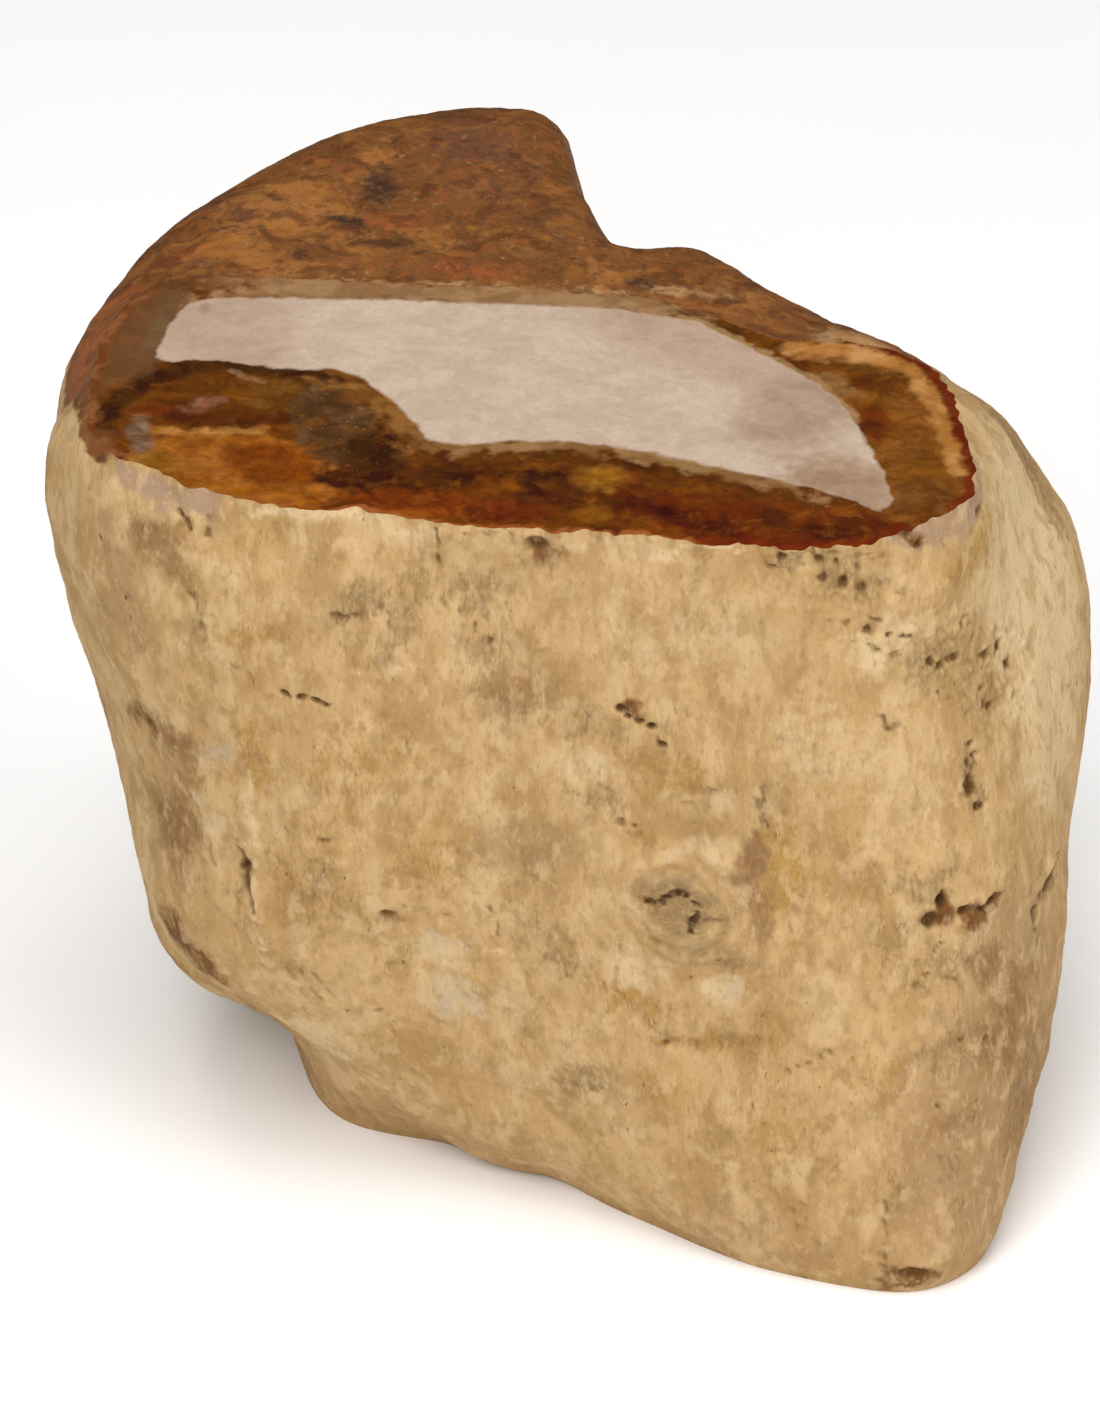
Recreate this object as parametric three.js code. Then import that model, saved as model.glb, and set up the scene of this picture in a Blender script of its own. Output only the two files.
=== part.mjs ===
// A block of petrified wood that stands on a level sawn foot, with one flat polished window across the
// front of its top. Everything else is the natural outside of the log. It is all one piece of stone.
//
// Millimetres. +Z is up, +X is to the right and -Y is the front. The origin is under the middle of the
// block's bounding box, on the surface that it stands on.
//
// The body is one closed shape written as a function, negative inside the stone and positive outside. Its
// sides come from a stack of level sections with a few swellings and hollows, and its top from a gentle
// natural slope behind the window. Two planes cut it flat: the window and the foot.

import * as THREE from 'three';

// ---- driving dimensions ----
const FOOT_Z = 0; // the sawn foot
const WINDOW_HEIGHT = 151.5; // height of the window's plane above the axis
const WINDOW_TILT = THREE.MathUtils.degToRad(15); // the window leans towards the front
const WINDOW_CENTRE = new THREE.Vector2(-5, -22); // a point well inside the window, in plan
const HEART = new THREE.Vector3(0, 0, 70); // every point of the sides and top is in sight of this one

// Level sections: a height, then the distance from the axis to the surface at 16 bearings, counted
// counter-clockwise from 0 at +X. Bearing 4 is the back, 8 the left and 12 the front.
const SECTIONS = [
  [0, [66, 61, 55, 50, 47, 48, 49, 49, 47, 42, 31, 31, 34, 56, 90, 82]],
  [5, [71, 65, 58, 53, 51, 53, 54, 54, 49, 45, 36, 36, 40, 60, 93, 84]],
  [12, [75, 70, 62, 56, 54, 57, 59, 58, 50, 47, 42, 41, 45, 62, 93, 85]],
  [20, [79, 73, 65, 58, 57, 60, 63, 66, 66, 50, 47, 44, 47, 64, 92, 87]],
  [30, [82, 76, 68, 61, 60, 63, 67, 71, 73, 58, 52, 46, 49, 64, 91, 89]],
  [40, [84, 78, 70, 63, 62, 66, 71, 74, 74, 69, 57, 48, 51, 63, 90, 90]],
  [55, [87, 81, 73, 66, 64, 69, 75, 78, 75, 75, 62, 50, 51, 62, 87, 89]],
  [80, [89, 84, 76, 69, 67, 73, 80, 84, 81, 75, 65, 53, 51, 60, 83, 87]],
  [105, [88, 81, 74, 68, 68, 75, 81, 85, 86, 81, 66, 53, 51, 59, 78, 82]],
  [122, [79, 75, 70, 66, 70, 77, 82, 85, 87, 85, 66, 53, 51, 59, 76, 78]],
  [137, [70, 68, 65, 64, 72, 77, 81, 83, 84, 83, 65, 52, 51, 59, 75, 76]],
  [150, [57, 58, 60, 62, 73, 75, 77, 79, 79, 79, 64, 52, 51, 58, 73, 72]],
  [166, [46, 49, 53, 60, 72, 73, 72, 71, 73, 75, 63, 51, 50, 57, 70, 66]],
];

// The window's far edge in plan, from left to right: x, y.
const FAR_EDGE = [
  [-84, -4],
  [-74, 8],
  [-60, 10],
  [-30, 7],
  [0, 5],
  [20, 1],
  [35, -9],
  [54, -8],
  [66, -18],
  [84, -24],
];

// The natural top behind that edge bends down a little from the window's plane, then falls away past a
// ledge: x, and the ledge's width there. The ledge is a broad hump on the left and a strip on the right.
const LEDGE = [
  [-90, 60],
  [-3, 60],
  [6, 20],
  [16, 20],
  [24, 23],
  [34, 18],
  [46, 8],
  [62, 6],
  [76, 20],
];
const CREASE = Math.tan(THREE.MathUtils.degToRad(4));
const TOP_ROUNDNESS = 700; // radius of the bend
const FALL_SLOPE = 0.9; // past the ledge
const FALL_SOFTNESS = 4;
const OVER_WINDOW = 0.5; // how steeply the uncut stone would have risen over the window
const SHOULDER_ROUNDING = 16; // between the top and the sides

// Swellings (positive) and hollows (negative) of the sides: bearing in degrees, height, how far it rises,
// and its half-widths round the stone in degrees and up it.
const SWELLINGS = [
  { name: 'knot', bearing: 288, z: 66, rise: 2.5, round: 9, up: 10 },
  { name: 'hollow over the knot', bearing: 291, z: 84, rise: -1.5, round: 9, up: 8 },
  { name: 'left corner', bearing: 214, z: 60, rise: 2, round: 9, up: 40 },
  { name: 'undercut', bearing: 191, z: 18, rise: -3, round: 6, up: 6 },
  { name: 'right corner of the window', bearing: 325, z: 139, rise: 3, round: 7, up: 9 },
];

// Mesh: columns round the stone, and rows across the window, down the sides and across the foot.
const COLUMNS = 96;
const WINDOW_ROWS = 3;
const SIDE_ROWS = 45;
const FOOT_ROWS = 2;
const WELL_OUTSIDE = 220; // further than the stone reaches from any point inside it
const HALVINGS = 40;
const TURNS = Array.from({ length: COLUMNS }, (_, i) => (2 * Math.PI * i) / COLUMNS);

// ---- small helpers ----
const mod = (n, m) => ((n % m) + m) % m;

function softMax(a, b, rounding) {
  const near = Math.max(rounding - Math.abs(a - b), 0) / rounding;
  return Math.max(a, b) + (near * near * rounding) / 4;
}

const softStep = (x, softness) => softness * Math.log1p(Math.exp(x / softness));

// A smooth line through known values: a Hermite piece with slopes taken from the neighbours.
function through(x0, v0, x1, v1, x2, v2, x3, v3, x) {
  const span = x2 - x1;
  const t = (x - x1) / span;
  const slope1 = ((v2 - v0) / (x2 - x0)) * span;
  const slope2 = ((v3 - v1) / (x3 - x1)) * span;
  const rise = t * t * (3 - 2 * t);
  return v1 + (v2 - v1) * rise + t * (1 - t) * ((1 - t) * slope1 - t * slope2);
}

// The value at x of a smooth line through [x, value] pairs.
function alongPairs(pairs, x) {
  const last = pairs.length - 1;
  const inside = THREE.MathUtils.clamp(x, pairs[0][0], pairs[last][0]);
  let i = 0;
  while (i < last - 1 && pairs[i + 1][0] < inside) i += 1;
  const [x1, v1] = pairs[i];
  const [x2, v2] = pairs[i + 1];
  const [x0, v0] = i > 0 ? pairs[i - 1] : [2 * x1 - x2, 2 * v1 - v2];
  const [x3, v3] = i + 2 <= last ? pairs[i + 2] : [2 * x2 - x1, 2 * v2 - v1];
  return through(x0, v0, x1, v1, x2, v2, x3, v3, inside);
}

// ---- the stone as a function ----
// One section's radius at a station: a bearing, whole or in between.
function sectionRadius(radii, station) {
  const i = Math.floor(station);
  const at = (k) => radii[mod(i + k, radii.length)];
  return through(-1, at(-1), 0, at(0), 1, at(1), 2, at(2), station - i);
}

// The angle between two bearings in degrees, from -180 to 180.
const turnBetween = (from, to) => mod(to - from + 180, 360) - 180;

function sideRadius(bearing, z) {
  const degrees = THREE.MathUtils.radToDeg(bearing);
  const station = mod(degrees / 360, 1) * SECTIONS[0][1].length;
  const atBearing = SECTIONS.map(([height, radii]) => [height, sectionRadius(radii, station)]);
  const swelling = SWELLINGS.reduce((sum, s) => {
    const round = turnBetween(s.bearing, degrees) / s.round;
    const up = (z - s.z) / s.up;
    return sum + s.rise * Math.exp(-round * round - up * up);
  }, 0);
  return alongPairs(atBearing, z) + swelling;
}

const windowHeight = (y) => WINDOW_HEIGHT + y * Math.tan(WINDOW_TILT);

function topHeight(x, y) {
  const past = y - alongPairs(FAR_EDGE, x);
  if (past < 0) return windowHeight(y) - OVER_WINDOW * past;
  const ledge = alongPairs(LEDGE, x);
  const bend = CREASE * past + (past * past) / (2 * TOP_ROUNDNESS);
  const fall = FALL_SLOPE * (softStep(past - ledge, FALL_SOFTNESS) - softStep(-ledge, FALL_SOFTNESS));
  return windowHeight(y) - bend - fall;
}

function outside(p) {
  const side = Math.hypot(p.x, p.y) - sideRadius(Math.atan2(p.y, p.x), p.z);
  return softMax(side, p.z - topHeight(p.x, p.y), SHOULDER_ROUNDING);
}

// Where a ray from a point inside the stone leaves it, by halving the stretch that it must lie in.
function leaves(from, direction) {
  let near = 0;
  let far = WELL_OUTSIDE;
  const p = new THREE.Vector3();
  for (let i = 0; i < HALVINGS; i += 1) {
    const middle = (near + far) / 2;
    if (outside(p.copy(direction).multiplyScalar(middle).add(from)) < 0) near = middle;
    else far = middle;
  }
  return direction.clone().multiplyScalar(near).add(from);
}

// ---- the mesh ----
// The rim of the window: where it runs out into the natural surface.
function windowRim(middle) {
  const rise = Math.tan(WINDOW_TILT);
  return TURNS.map((turn) => {
    const across = new THREE.Vector3(Math.cos(turn), Math.sin(turn), Math.sin(turn) * rise);
    return leaves(middle, across.normalize());
  });
}

function footEdge() {
  return TURNS.map((turn) => {
    const reach = sideRadius(turn, FOOT_Z);
    return new THREE.Vector3(reach * Math.cos(turn), reach * Math.sin(turn), FOOT_Z);
  });
}

// A point of the natural surface, a share of the way from the rim to the foot as the heart sees them.
function sidePoint(rimPoint, footPoint, share) {
  const up = rimPoint.clone().sub(HEART).normalize();
  const down = footPoint.clone().sub(HEART).normalize();
  const angle = up.angleTo(down);
  const direction = up
    .multiplyScalar(Math.sin((1 - share) * angle))
    .add(down.multiplyScalar(Math.sin(share * angle)))
    .normalize();
  return leaves(HEART, direction);
}

// Rings of COLUMNS points each: out across the window, down the sides and in across the foot.
function rings(windowMiddle, footMiddle) {
  const rim = windowRim(windowMiddle);
  const edge = footEdge();
  const all = [];
  for (let row = 1; row < WINDOW_ROWS; row += 1) {
    all.push(rim.map((p) => windowMiddle.clone().lerp(p, row / WINDOW_ROWS)));
  }
  all.push(rim);
  for (let row = 1; row < SIDE_ROWS; row += 1) {
    all.push(rim.map((p, i) => sidePoint(p, edge[i], row / SIDE_ROWS)));
  }
  all.push(edge);
  for (let row = FOOT_ROWS - 1; row > 0; row -= 1) {
    all.push(edge.map((p) => footMiddle.clone().lerp(p, row / FOOT_ROWS)));
  }
  return all;
}

function stoneGeometry() {
  const first = new THREE.Vector3(WINDOW_CENTRE.x, WINDOW_CENTRE.y, windowHeight(WINDOW_CENTRE.y));
  const last = new THREE.Vector3(0, 0, FOOT_Z);
  const all = rings(first, last);
  const points = [first, ...all.flat(), last];
  const index = [];
  const at = (row, column) => 1 + row * COLUMNS + mod(column, COLUMNS);
  for (let i = 0; i < COLUMNS; i += 1) {
    index.push(0, at(0, i), at(0, i + 1));
    for (let row = 0; row + 1 < all.length; row += 1) {
      index.push(at(row, i), at(row + 1, i), at(row + 1, i + 1));
      index.push(at(row, i), at(row + 1, i + 1), at(row, i + 1));
    }
    index.push(points.length - 1, at(all.length - 1, i + 1), at(all.length - 1, i));
  }
  const geometry = new THREE.BufferGeometry().setFromPoints(points);
  geometry.setIndex(index);
  geometry.computeVertexNormals();
  return geometry;
}

// ---- the object ----
const stone = new THREE.Mesh(
  stoneGeometry(),
  new THREE.MeshStandardMaterial({ color: 0xcaa673, roughness: 0.75, metalness: 0 }),
);
stone.name = 'petrified_wood';

// Set the block over the origin.
const box = new THREE.Box3().setFromObject(stone);
const middle = box.getCenter(new THREE.Vector3());
stone.position.set(-middle.x, -middle.y, -box.min.z);

const part = new THREE.Group();
part.add(stone);

export default part;
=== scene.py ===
"""The looks of a block of petrified wood: one piece of stone, with natural bark all round, a brown
weathered top and one flat polished window that shows its agate heart. Lengths are in millimetres
until the mesh is written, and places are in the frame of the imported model."""

import math
from collections import namedtuple

import bmesh
import bpy
import numpy as np
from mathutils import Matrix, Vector
from mathutils.geometry import delaunay_2d_cdt
from mathutils.kdtree import KDTree


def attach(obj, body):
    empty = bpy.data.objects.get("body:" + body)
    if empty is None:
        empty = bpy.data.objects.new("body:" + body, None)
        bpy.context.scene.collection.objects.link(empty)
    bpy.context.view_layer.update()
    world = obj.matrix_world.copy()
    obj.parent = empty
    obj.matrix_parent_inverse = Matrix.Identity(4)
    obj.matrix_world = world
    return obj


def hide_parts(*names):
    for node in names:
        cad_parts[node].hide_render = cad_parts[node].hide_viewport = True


MM = 0.001
NODE = "petrified_wood"

# ---- sizes ----
CAP_END = 58.0  # the brown top ends about here in x
CAP_FOOT = 140.0  # and comes down to about this height at the back of the left half
CAP_FALL = 0.25  # and lower by this much for each mm further to the right
CAP_FRONT = -23.0  # it begins behind this y
CRUST_END = -70.0  # the crust outside the rim's left end ends about here in x
CRUST_FRONT = -36.0  # and begins behind this y
FRONT_END = -15.0  # the front's own marks and stains end at this y
FINE_END = -20.0  # and the surface is finer round the marks as far as this
SMOOTHING = 2  # subdivision levels over the CAD surface
RIM_BAND = 1.4  # the surface is finer this close to the window's rim
MARK_PASSES = [(0.7, 0.3), (0.3, 0.7)]  # and this far round the front's marks of at least that depth
WINDOW_SPACING = 1.2  # between the points that fill the window
FOOT_SPACING = 4.0  # and the foot
RIM_PULL = 2.5  # the rim moves at most this far to its corners
RIM_REACH = 12.0  # and takes the stone beside it along

# The window's rim in plan, x and y, from the left end over the front.
RIM = [
    (-79, -24), (-78, -31), (-74, -37), (-66, -41), (-56, -46), (-42, -50), (-32, -49), (-24, -52),
    (-10, -54), (10, -55), (25, -57), (36, -58), (48, -57), (56, -52), (62, -46), (63, -38), (62, -27),
    (59, -17), (53, -12), (45, -10), (36, -10), (28, -7), (20, -2), (5, 2), (-30, 5), (-62, 6), (-71, 4),
    (-78, -8),
]

# Where the smooth stone stands a little further out or in: x, y, z, radius, amount outwards.
SWELLS = [
    (-3, 58, 157, 9, 1.5), (-20, 62, 159, 16, 1.3), (-40, 56, 157, 14, 1.1), (-81, 4, 141, 9, 0.7),
    (-86, -16, 128, 8, 1.2), (20, 29, 147, 7, -1.5), (8, 18, 153, 4, 0.5), (31, 15, 148, 7, 0.6),
    (39, 10, 147, 6, 0.8), (49, 4, 144, 5, -1.0), (82, -4, 114, 9, 0.8), (86, -12, 52, 20, -1.2),
    (80, -38, 26, 10, 1.0), (74, -52, 6, 9, -1.6), (68, -66, 4, 8, -0.6), (57, -68, 3, 9, 0.9),
    (30, -60, 3, 8, 0.6), (12, -51, 4, 9, -1.0), (-10, -36, 3, 8, 0.5), (-34, -24, 4, 9, -1.0),
    (-57, -13, 21, 7, -1.5), (-64, -12, 30, 7, -0.9), (-72, -10, 34, 7, 0.5), (-83, -12, 88, 16, -0.4),
]

# The knot on the front: its middle as x and z, the radius that the fibres flow round, and its rings.
KNOT = (17, 70)
KNOT_RADIUS = 7.0
KNOT_LEAN = -35
RING_SPACING = 3.2
RING_HEIGHT = 0.3
GRANULAR_BAND = [(34, 135), (45, 130), (56, 117), (66, 109), (69, 103)]
GRANULAR_LEAST = 0.5  # the granular band is made finer only in the passes below this depth

# Pits of the front that stand alone: x, z, half-width, half-height and depth.
Hole = namedtuple("Hole", "x z wide high depth")
PITS = [Hole(*place) for place in (
    (-71, 92, 1.2, 1.6, 0.6), (-47, 106, 1, 0.7, 0.8), (-41, 79, 1.5, 0.7, 0.5), (-31, 64, 1.5, 1, 0.6),
    (-33, 42, 1, 1, 0.4), (-55, 70, 1, 1, 0.8), (-6, 135, 2.2, 2.2, 0.8), (14, 100, 1, 1, 0.8),
    (19, 58, 0.7, 0.7, 0.5), (15, 44, 0.7, 0.7, 0.5), (33, 27, 1, 0.7, 0.4), (32, 135, 1, 1, 0.6),
    (62, 118, 0.6, 1, 0.6), (67, 110, 0.7, 1.2, 0.7), (64, 98, 0.7, 0.8, 0.6), (64, 136, 0.7, 1.5, 0.6),
    (60, 38, 0.7, 0.7, 0.5), (69, 46, 0.6, 1, 0.6), (64, 48, 0.6, 0.6, 0.6), (57, 5, 4, 1.5, 0.9),
    (60, 74, 1, 1.5, 1.1),
)]
# Pits in rows: how many, the half-width, half-height and depth of each, then x and z of both ends.
PIT_ROWS = [
    (3, 1.2, 0.7, 0.8, (-44, 106), (-40, 105)), (2, 1.6, 0.7, 0.6, (-38, 121), (-35, 121)),
    (4, 1.0, 0.9, 0.9, (7, 106), (12, 103)), (2, 0.6, 1.0, 0.5, (-16, 119), (-14, 117)),
    (2, 0.9, 0.9, 0.5, (7, 85), (9, 84)), (3, 1.0, 1.2, 0.7, (39, 132), (45, 130)),
    (3, 0.8, 0.8, 0.6, (38, 135), (44, 133)), (3, 1.0, 0.8, 0.7, (57, 114), (61, 113)),
    (2, 1.4, 1.6, 1.4, (58, 71), (60, 73)), (3, 1.4, 0.8, 1.3, (64, 70), (69, 70)),
    (2, 1.4, 1.0, 0.8, (52, 137), (54, 135)), (5, 0.8, 0.6, 0.4, (35, 43), (42, 47)),
]
PIT_SCATTER = 0.4  # how far a pit lies out of its row
PIT_SPREAD = 0.25  # and how much its size differs

# Cracks of the front: half-width, depth, then x and z from end to end.
Crack = namedtuple("Crack", "wide depth points")
CRACKS = [
    Crack(0.4, 0.7, [(-63, 136), (-61, 133)]), Crack(0.4, 0.6, [(-58, 136), (-59, 133)]),
    Crack(0.4, 0.5, [(-63, 125), (-61, 121), (-59, 112)]),
    Crack(0.35, 0.4, [(-57, 110), (-53, 110), (-52, 108)]),
    Crack(0.45, 0.7, [(-56, 77), (-55, 70), (-53, 61)]), Crack(0.3, 0.35, [(-53, 61), (-52, 50)]),
    Crack(0.3, 0.5, [(-22, 137), (-22, 131)]), Crack(0.35, 0.5, [(-14, 66), (-13, 60)]),
    Crack(0.3, 0.4, [(2, 18), (4, 14)]), Crack(0.35, 0.5, [(30, 94), (31, 86)]),
    Crack(0.5, 0.6, [(49, 107), (50, 104), (52, 106)]), Crack(0.6, 0.9, [(64, 96), (64, 91), (66, 87)]),
    Crack(0.4, 0.5, [(60, 66), (58, 61), (56, 59)]), Crack(0.35, 0.4, [(61, 60), (64, 57)]),
    Crack(0.6, 0.7, [(81, 67), (79, 64), (76, 62)]), Crack(0.4, 0.5, [(76, 63), (77, 55)]),
    Crack(0.5, 0.5, [(52, 20), (52, 6)]),
]
KNOT_CRACKS = [
    Crack(0.45, 0.8, [(11, 71), (14, 71)]), Crack(0.5, 0.9, [(14, 72), (16, 73), (18, 73)]),
    Crack(0.4, 0.7, [(19, 72), (21, 71)]), Crack(0.55, 0.8, [(20, 70), (19, 69), (19, 67)]),
    Crack(0.35, 0.4, [(21, 69), (24, 69)]), Crack(0.3, 0.3, [(10, 66), (14, 64)]),
]
# Fine parallel furrows: how many, how far apart, then both ends of the first one.
FURROWS = [
    (3, 2.5, (-49, 50), (-45, 43)), (2, 2.0, (36, 18), (38, 9)), (3, 1.5, (61, 28), (61, 23)),
    (2, 2.0, (-64, 80), (-62, 69)),
]
CRACKS += KNOT_CRACKS + [
    Crack(0.35, 0.38, [(top[0] + i * gap, top[1]), (low[0] + i * gap, low[1])])
    for count, gap, top, low in FURROWS for i in range(count)
]

# Ridges and hollows of the front that run along lines: height, half-width, then x, z.
RIDGES = [
    (0.35, 0.7, [(-38, 111), (-22, 111)]), (0.7, 1.6, [(-54, 90), (-53, 74), (-52, 56)]),
    (-0.6, 1.4, [(-51, 86), (-49, 60)]), (0.6, 1.6, [(-61, 84), (-60, 74), (-59, 62)]),
    (0.35, 1.4, [(-46, 58), (-39, 34)]), (0.6, 1.1, [(9, 74), (13, 78), (20, 80), (26, 78)]),
    (-0.6, 3.0, [(13, 71), (22, 69)]), (-0.4, 0.9, [(5, 53), (11, 48), (15, 44), (20, 43), (31, 47)]),
    (0.3, 0.6, [(-18, 29), (-6, 29)]), (0.3, 0.7, [(-29, 60), (-21, 54), (-10, 57)]),
    (0.3, 0.7, [(-28, 46), (-20, 43), (-11, 46)]), (0.45, 1.2, [(49, 27), (50, 8)]),
    (0.45, 1.4, [(60, 25), (61, 10)]), (0.5, 1.0, [(81, 68), (75, 65)]),
]

# Stains of the front, with painted shade and painted light among them: x, z, half-width, half-height,
# strength and, where it leans, by how many degrees.
Stain = namedtuple("Stain", "x z wide high strength lean", defaults=[0])


def stains(*places):
    return [Stain(*place) for place in places]


STAINS = {
    # brown: brown staining, and painted shade: most of these darken the bottom, the lower right and the
    # left edge.
    "brown": stains(
        (68, 30, 18, 32, 1.0), (72, 60, 9, 12, 0.8), (-67, 74, 6, 14, 0.6), (-68, 132, 6, 6, 0.7),
        (64, 113, 6, 8, 0.4), (-74, 122, 6, 14, 0.8), (66, 22, 14, 18, 0.8), (-20, 10, 26, 9, 0.4),
        (30, 8, 26, 9, 0.5), (-7, 78, 12, 9, 0.6), (-11, 107, 9, 8, 0.6, -10), (-60, 35, 8, 8, 0.4),
        (28, 76, 5, 11, 0.6),
    ),
    "ochre": stains(
        (-53, 92, 4, 9, 0.9), (-52, 116, 5, 4, 0.7), (-29, 96, 3, 3, 0.6), (-36, 93, 11, 12, 0.5),
        (-44, 72, 7, 12, 0.5), (-24, 76, 8, 9, 0.6), (33, 79, 4, 13, 1.0, 3), (16, 94, 8, 6, 0.7),
        (10, 50, 6, 4, 0.8, -35), (24, 45, 8, 4, 0.7), (33, 51, 4, 6, 0.5), (64, 130, 4, 6, 0.8),
        (44, 78, 8, 10, 0.5), (5, 55, 5, 5, 0.4), (30, 30, 16, 9, 0.4), (-16, 93, 5, 4, 0.4),
        (51, 43, 6, 5, 0.5), (51, 66, 4, 5, 0.4), (11, 84, 2, 3, 0.8), (-49, 134, 6, 4, 0.5),
        (36, 15, 6, 5, 0.3), (18, 34, 14, 7, 0.4), (52, 137, 3, 2, 0.6),
    ),
    "grey": stains(
        (-15, 125, 8, 5, 0.6, -10), (-27, 121, 2, 9, 0.7), (-35, 123, 5, 3, 0.8, 35),
        (-30, 121, 2, 6, 0.7), (-32, 115, 7, 4, 0.5), (-14, 116, 7, 6, 0.5), (-1, 58, 5, 6, 0.5),
        (-6, 63, 4, 5, 0.5), (-6, 75, 3, 4, 0.5), (1, 33, 6, 4, 0.7, -15), (43, 132, 7, 4, 0.7, -30),
        (57, 115, 7, 5, 0.6, -30), (33, 134, 2, 2, 0.7), (62, 46, 6, 5, 0.7), (56, 77, 8, 3, 0.6),
        (52, 68, 4, 6, 0.5), (60, 62, 6, 6, 0.5), (54, 22, 5, 5, 0.5), (64, 15, 2, 7, 0.5),
        (-43, 68, 5, 7, 0.5), (-55, 64, 2, 9, 0.6), (-35, 28, 7, 8, 0.2), (3, 102, 5, 4, 0.5),
        (5, 88, 5, 5, 0.5), (27, 62, 4, 3, 0.6, -20), (28, 78, 3, 6, 0.5, -20), (-25, 128, 2, 2, 0.5),
    ),
    "mauve": stains(
        (-68, 132, 5, 4, 1.0), (-65, 127, 5, 3, 0.6), (-66, 91, 5, 5, 0.8), (-64, 86, 5, 5, 0.7),
        (-67, 73, 5, 9, 0.9), (28, 80, 3, 6, 0.9, -15), (29, 71, 3, 5, 0.7), (67, 60, 5, 4, 0.9),
        (72, 47, 5, 9, 1.0), (-11, 107, 8, 6, 0.6, -15), (66, 107, 4, 7, 0.5), (63, 34, 5, 3, 0.6),
        (76, 30, 5, 14, 0.7), (-62, 112, 3, 4, 0.3), (-37, 132, 5, 3, 0.3),
    ),
    "knot": stains((17, 71, 9, 5, 0.75, -15), (20, 65, 9, 5, 0.6, -25), (17, 76, 5, 2, 0.4, 10)),
    # cream: pale patches and streaks of the stone; the three broad ones on the right shoulder, at x 72 to
    # 80, are painted light there.
    "cream": stains(
        (-22, 56, 6, 5, 0.7), (-20, 46, 6, 5, 0.6), (10, 58, 6, 5, 0.8, -40), (23, 56, 4, 4, 0.9),
        (18, 80, 6, 2, 0.5, 5), (-38, 138, 11, 2, 0.7), (11, 134, 4, 2, 0.8), (78, 112, 10, 30, 1.0),
        (72, 122, 7, 22, 1.0), (80, 90, 7, 18, 0.8), (49, 120, 6, 5, 0.7, -35), (56, 90, 5, 6, 0.4),
        (3, 94, 5, 4, 0.7), (40, 103, 12, 9, 0.5), (-56, 127, 6, 4, 0.5), (15, 121, 18, 12, 0.4),
        (-48, 122, 6, 3, 0.4), (0, 8, 16, 4, 0.4), (-44, 30, 9, 9, 0.8), (-30, 20, 10, 7, 0.5),
        (46, 14, 6, 6, 0.3), (25, 90, 4, 3, 0.5), (-25, 135, 8, 4, 0.4),
    ),
    "chalky": stains(
        (-22, 58, 5, 3, 0.7, -20), (-20, 46, 7, 4, 0.7, -10), (-60, 75, 2, 7, 0.7),
        (-59, 92, 2, 4, 0.7, -20), (23, 56, 4, 3, 0.4), (2, 94, 5, 3, 0.3), (65, 67, 5, 2, 0.5),
        (17, 79, 6, 2, 0.4, 5),
    ),
    "umber": stains(
        (-65, 48, 9, 4, 1.0, -50), (-71, 93, 3, 3, 0.8), (10, 105, 3, 1.5, 0.9, -35), (59, 72, 3, 2, 1.0),
        (66, 70, 4, 1.5, 1.0, 5), (-5, 134, 4, 2, 0.8), (56, 3, 6, 3, 1.0, 15), (53, 136, 3, 2, 0.9),
        (-62, 133, 2, 3, 0.6, 20), (50, 105, 2, 2, 0.5), (79, 64, 3, 4, 0.6), (-35, 121, 3, 1, 0.7),
        (64, 92, 1, 4, 0.6), (-31, 63, 3, 2, 0.6), (14, 100, 1.5, 1.5, 0.6),
    ),
}

# Stains along lines on the front: which stain, half-width, strength, then x, z.
STREAKS = [
    ("lilac", 2.2, 1.0, [(-70, 140), (-58, 138)]),
    ("lilac", 3.0, 1.0, [(51, 137), (57, 137), (62, 138)]),
    ("cream", 1.0, 0.9, [(-50, 139), (-38, 138), (-24, 137)]), ("cream", 0.7, 0.8, [(-3, 136), (27, 136)]),
    ("cream", 0.6, 0.5, [(-38, 111), (-22, 111)]), ("cream", 0.8, 0.7, [(-54, 90), (-53, 74), (-52, 56)]),
    ("cream", 0.6, 0.6, [(-61, 82), (-60, 70)]), ("cream", 0.6, 0.6, [(-29, 60), (-21, 54), (-10, 57)]),
    ("cream", 0.6, 0.6, [(-28, 46), (-20, 43), (-11, 46)]), ("cream", 0.5, 0.4, [(-18, 29), (-6, 29)]),
    ("ochre", 1.2, 0.8, [(5, 53), (11, 48), (15, 45), (22, 45), (31, 48)]),
    ("grey", 0.8, 0.8, [(29, 92), (30, 80)]), ("grey", 1.0, 0.6, [(63, 98), (65, 87)]),
    ("umber", 0.6, 0.6, [(-18, 137), (-9, 136)]), ("umber", 0.5, 0.6, [(32, 136), (46, 136)]),
    ("grey", 0.6, 0.7, [(-63, 125), (-60, 114)]),
]

# The look of each stain: its colour, and how far blotches and fibres break it up.
STAIN_LOOKS = {
    # brown stands partly for painted shade along the bottom, the lower right and the left edge.
    "brown": ((178, 142, 100), 0.9), "ochre": ((184, 143, 80), 0.9), "grey": ((152, 124, 84), 1.3),
    # cream stands partly for painted light on the right shoulder.
    "cream": ((224, 194, 148), 0.9), "mauve": ((150, 112, 74), 0.9), "knot": ((150, 124, 88), 0.9),
    "chalky": ((204, 180, 144), 1.1), "lilac": ((178, 146, 118), 0.5), "umber": ((118, 74, 38), 0.8),
}

# The others also show here and there away from the front.
ONLY_PLACED = ("knot", "lilac", "chalky")

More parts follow.
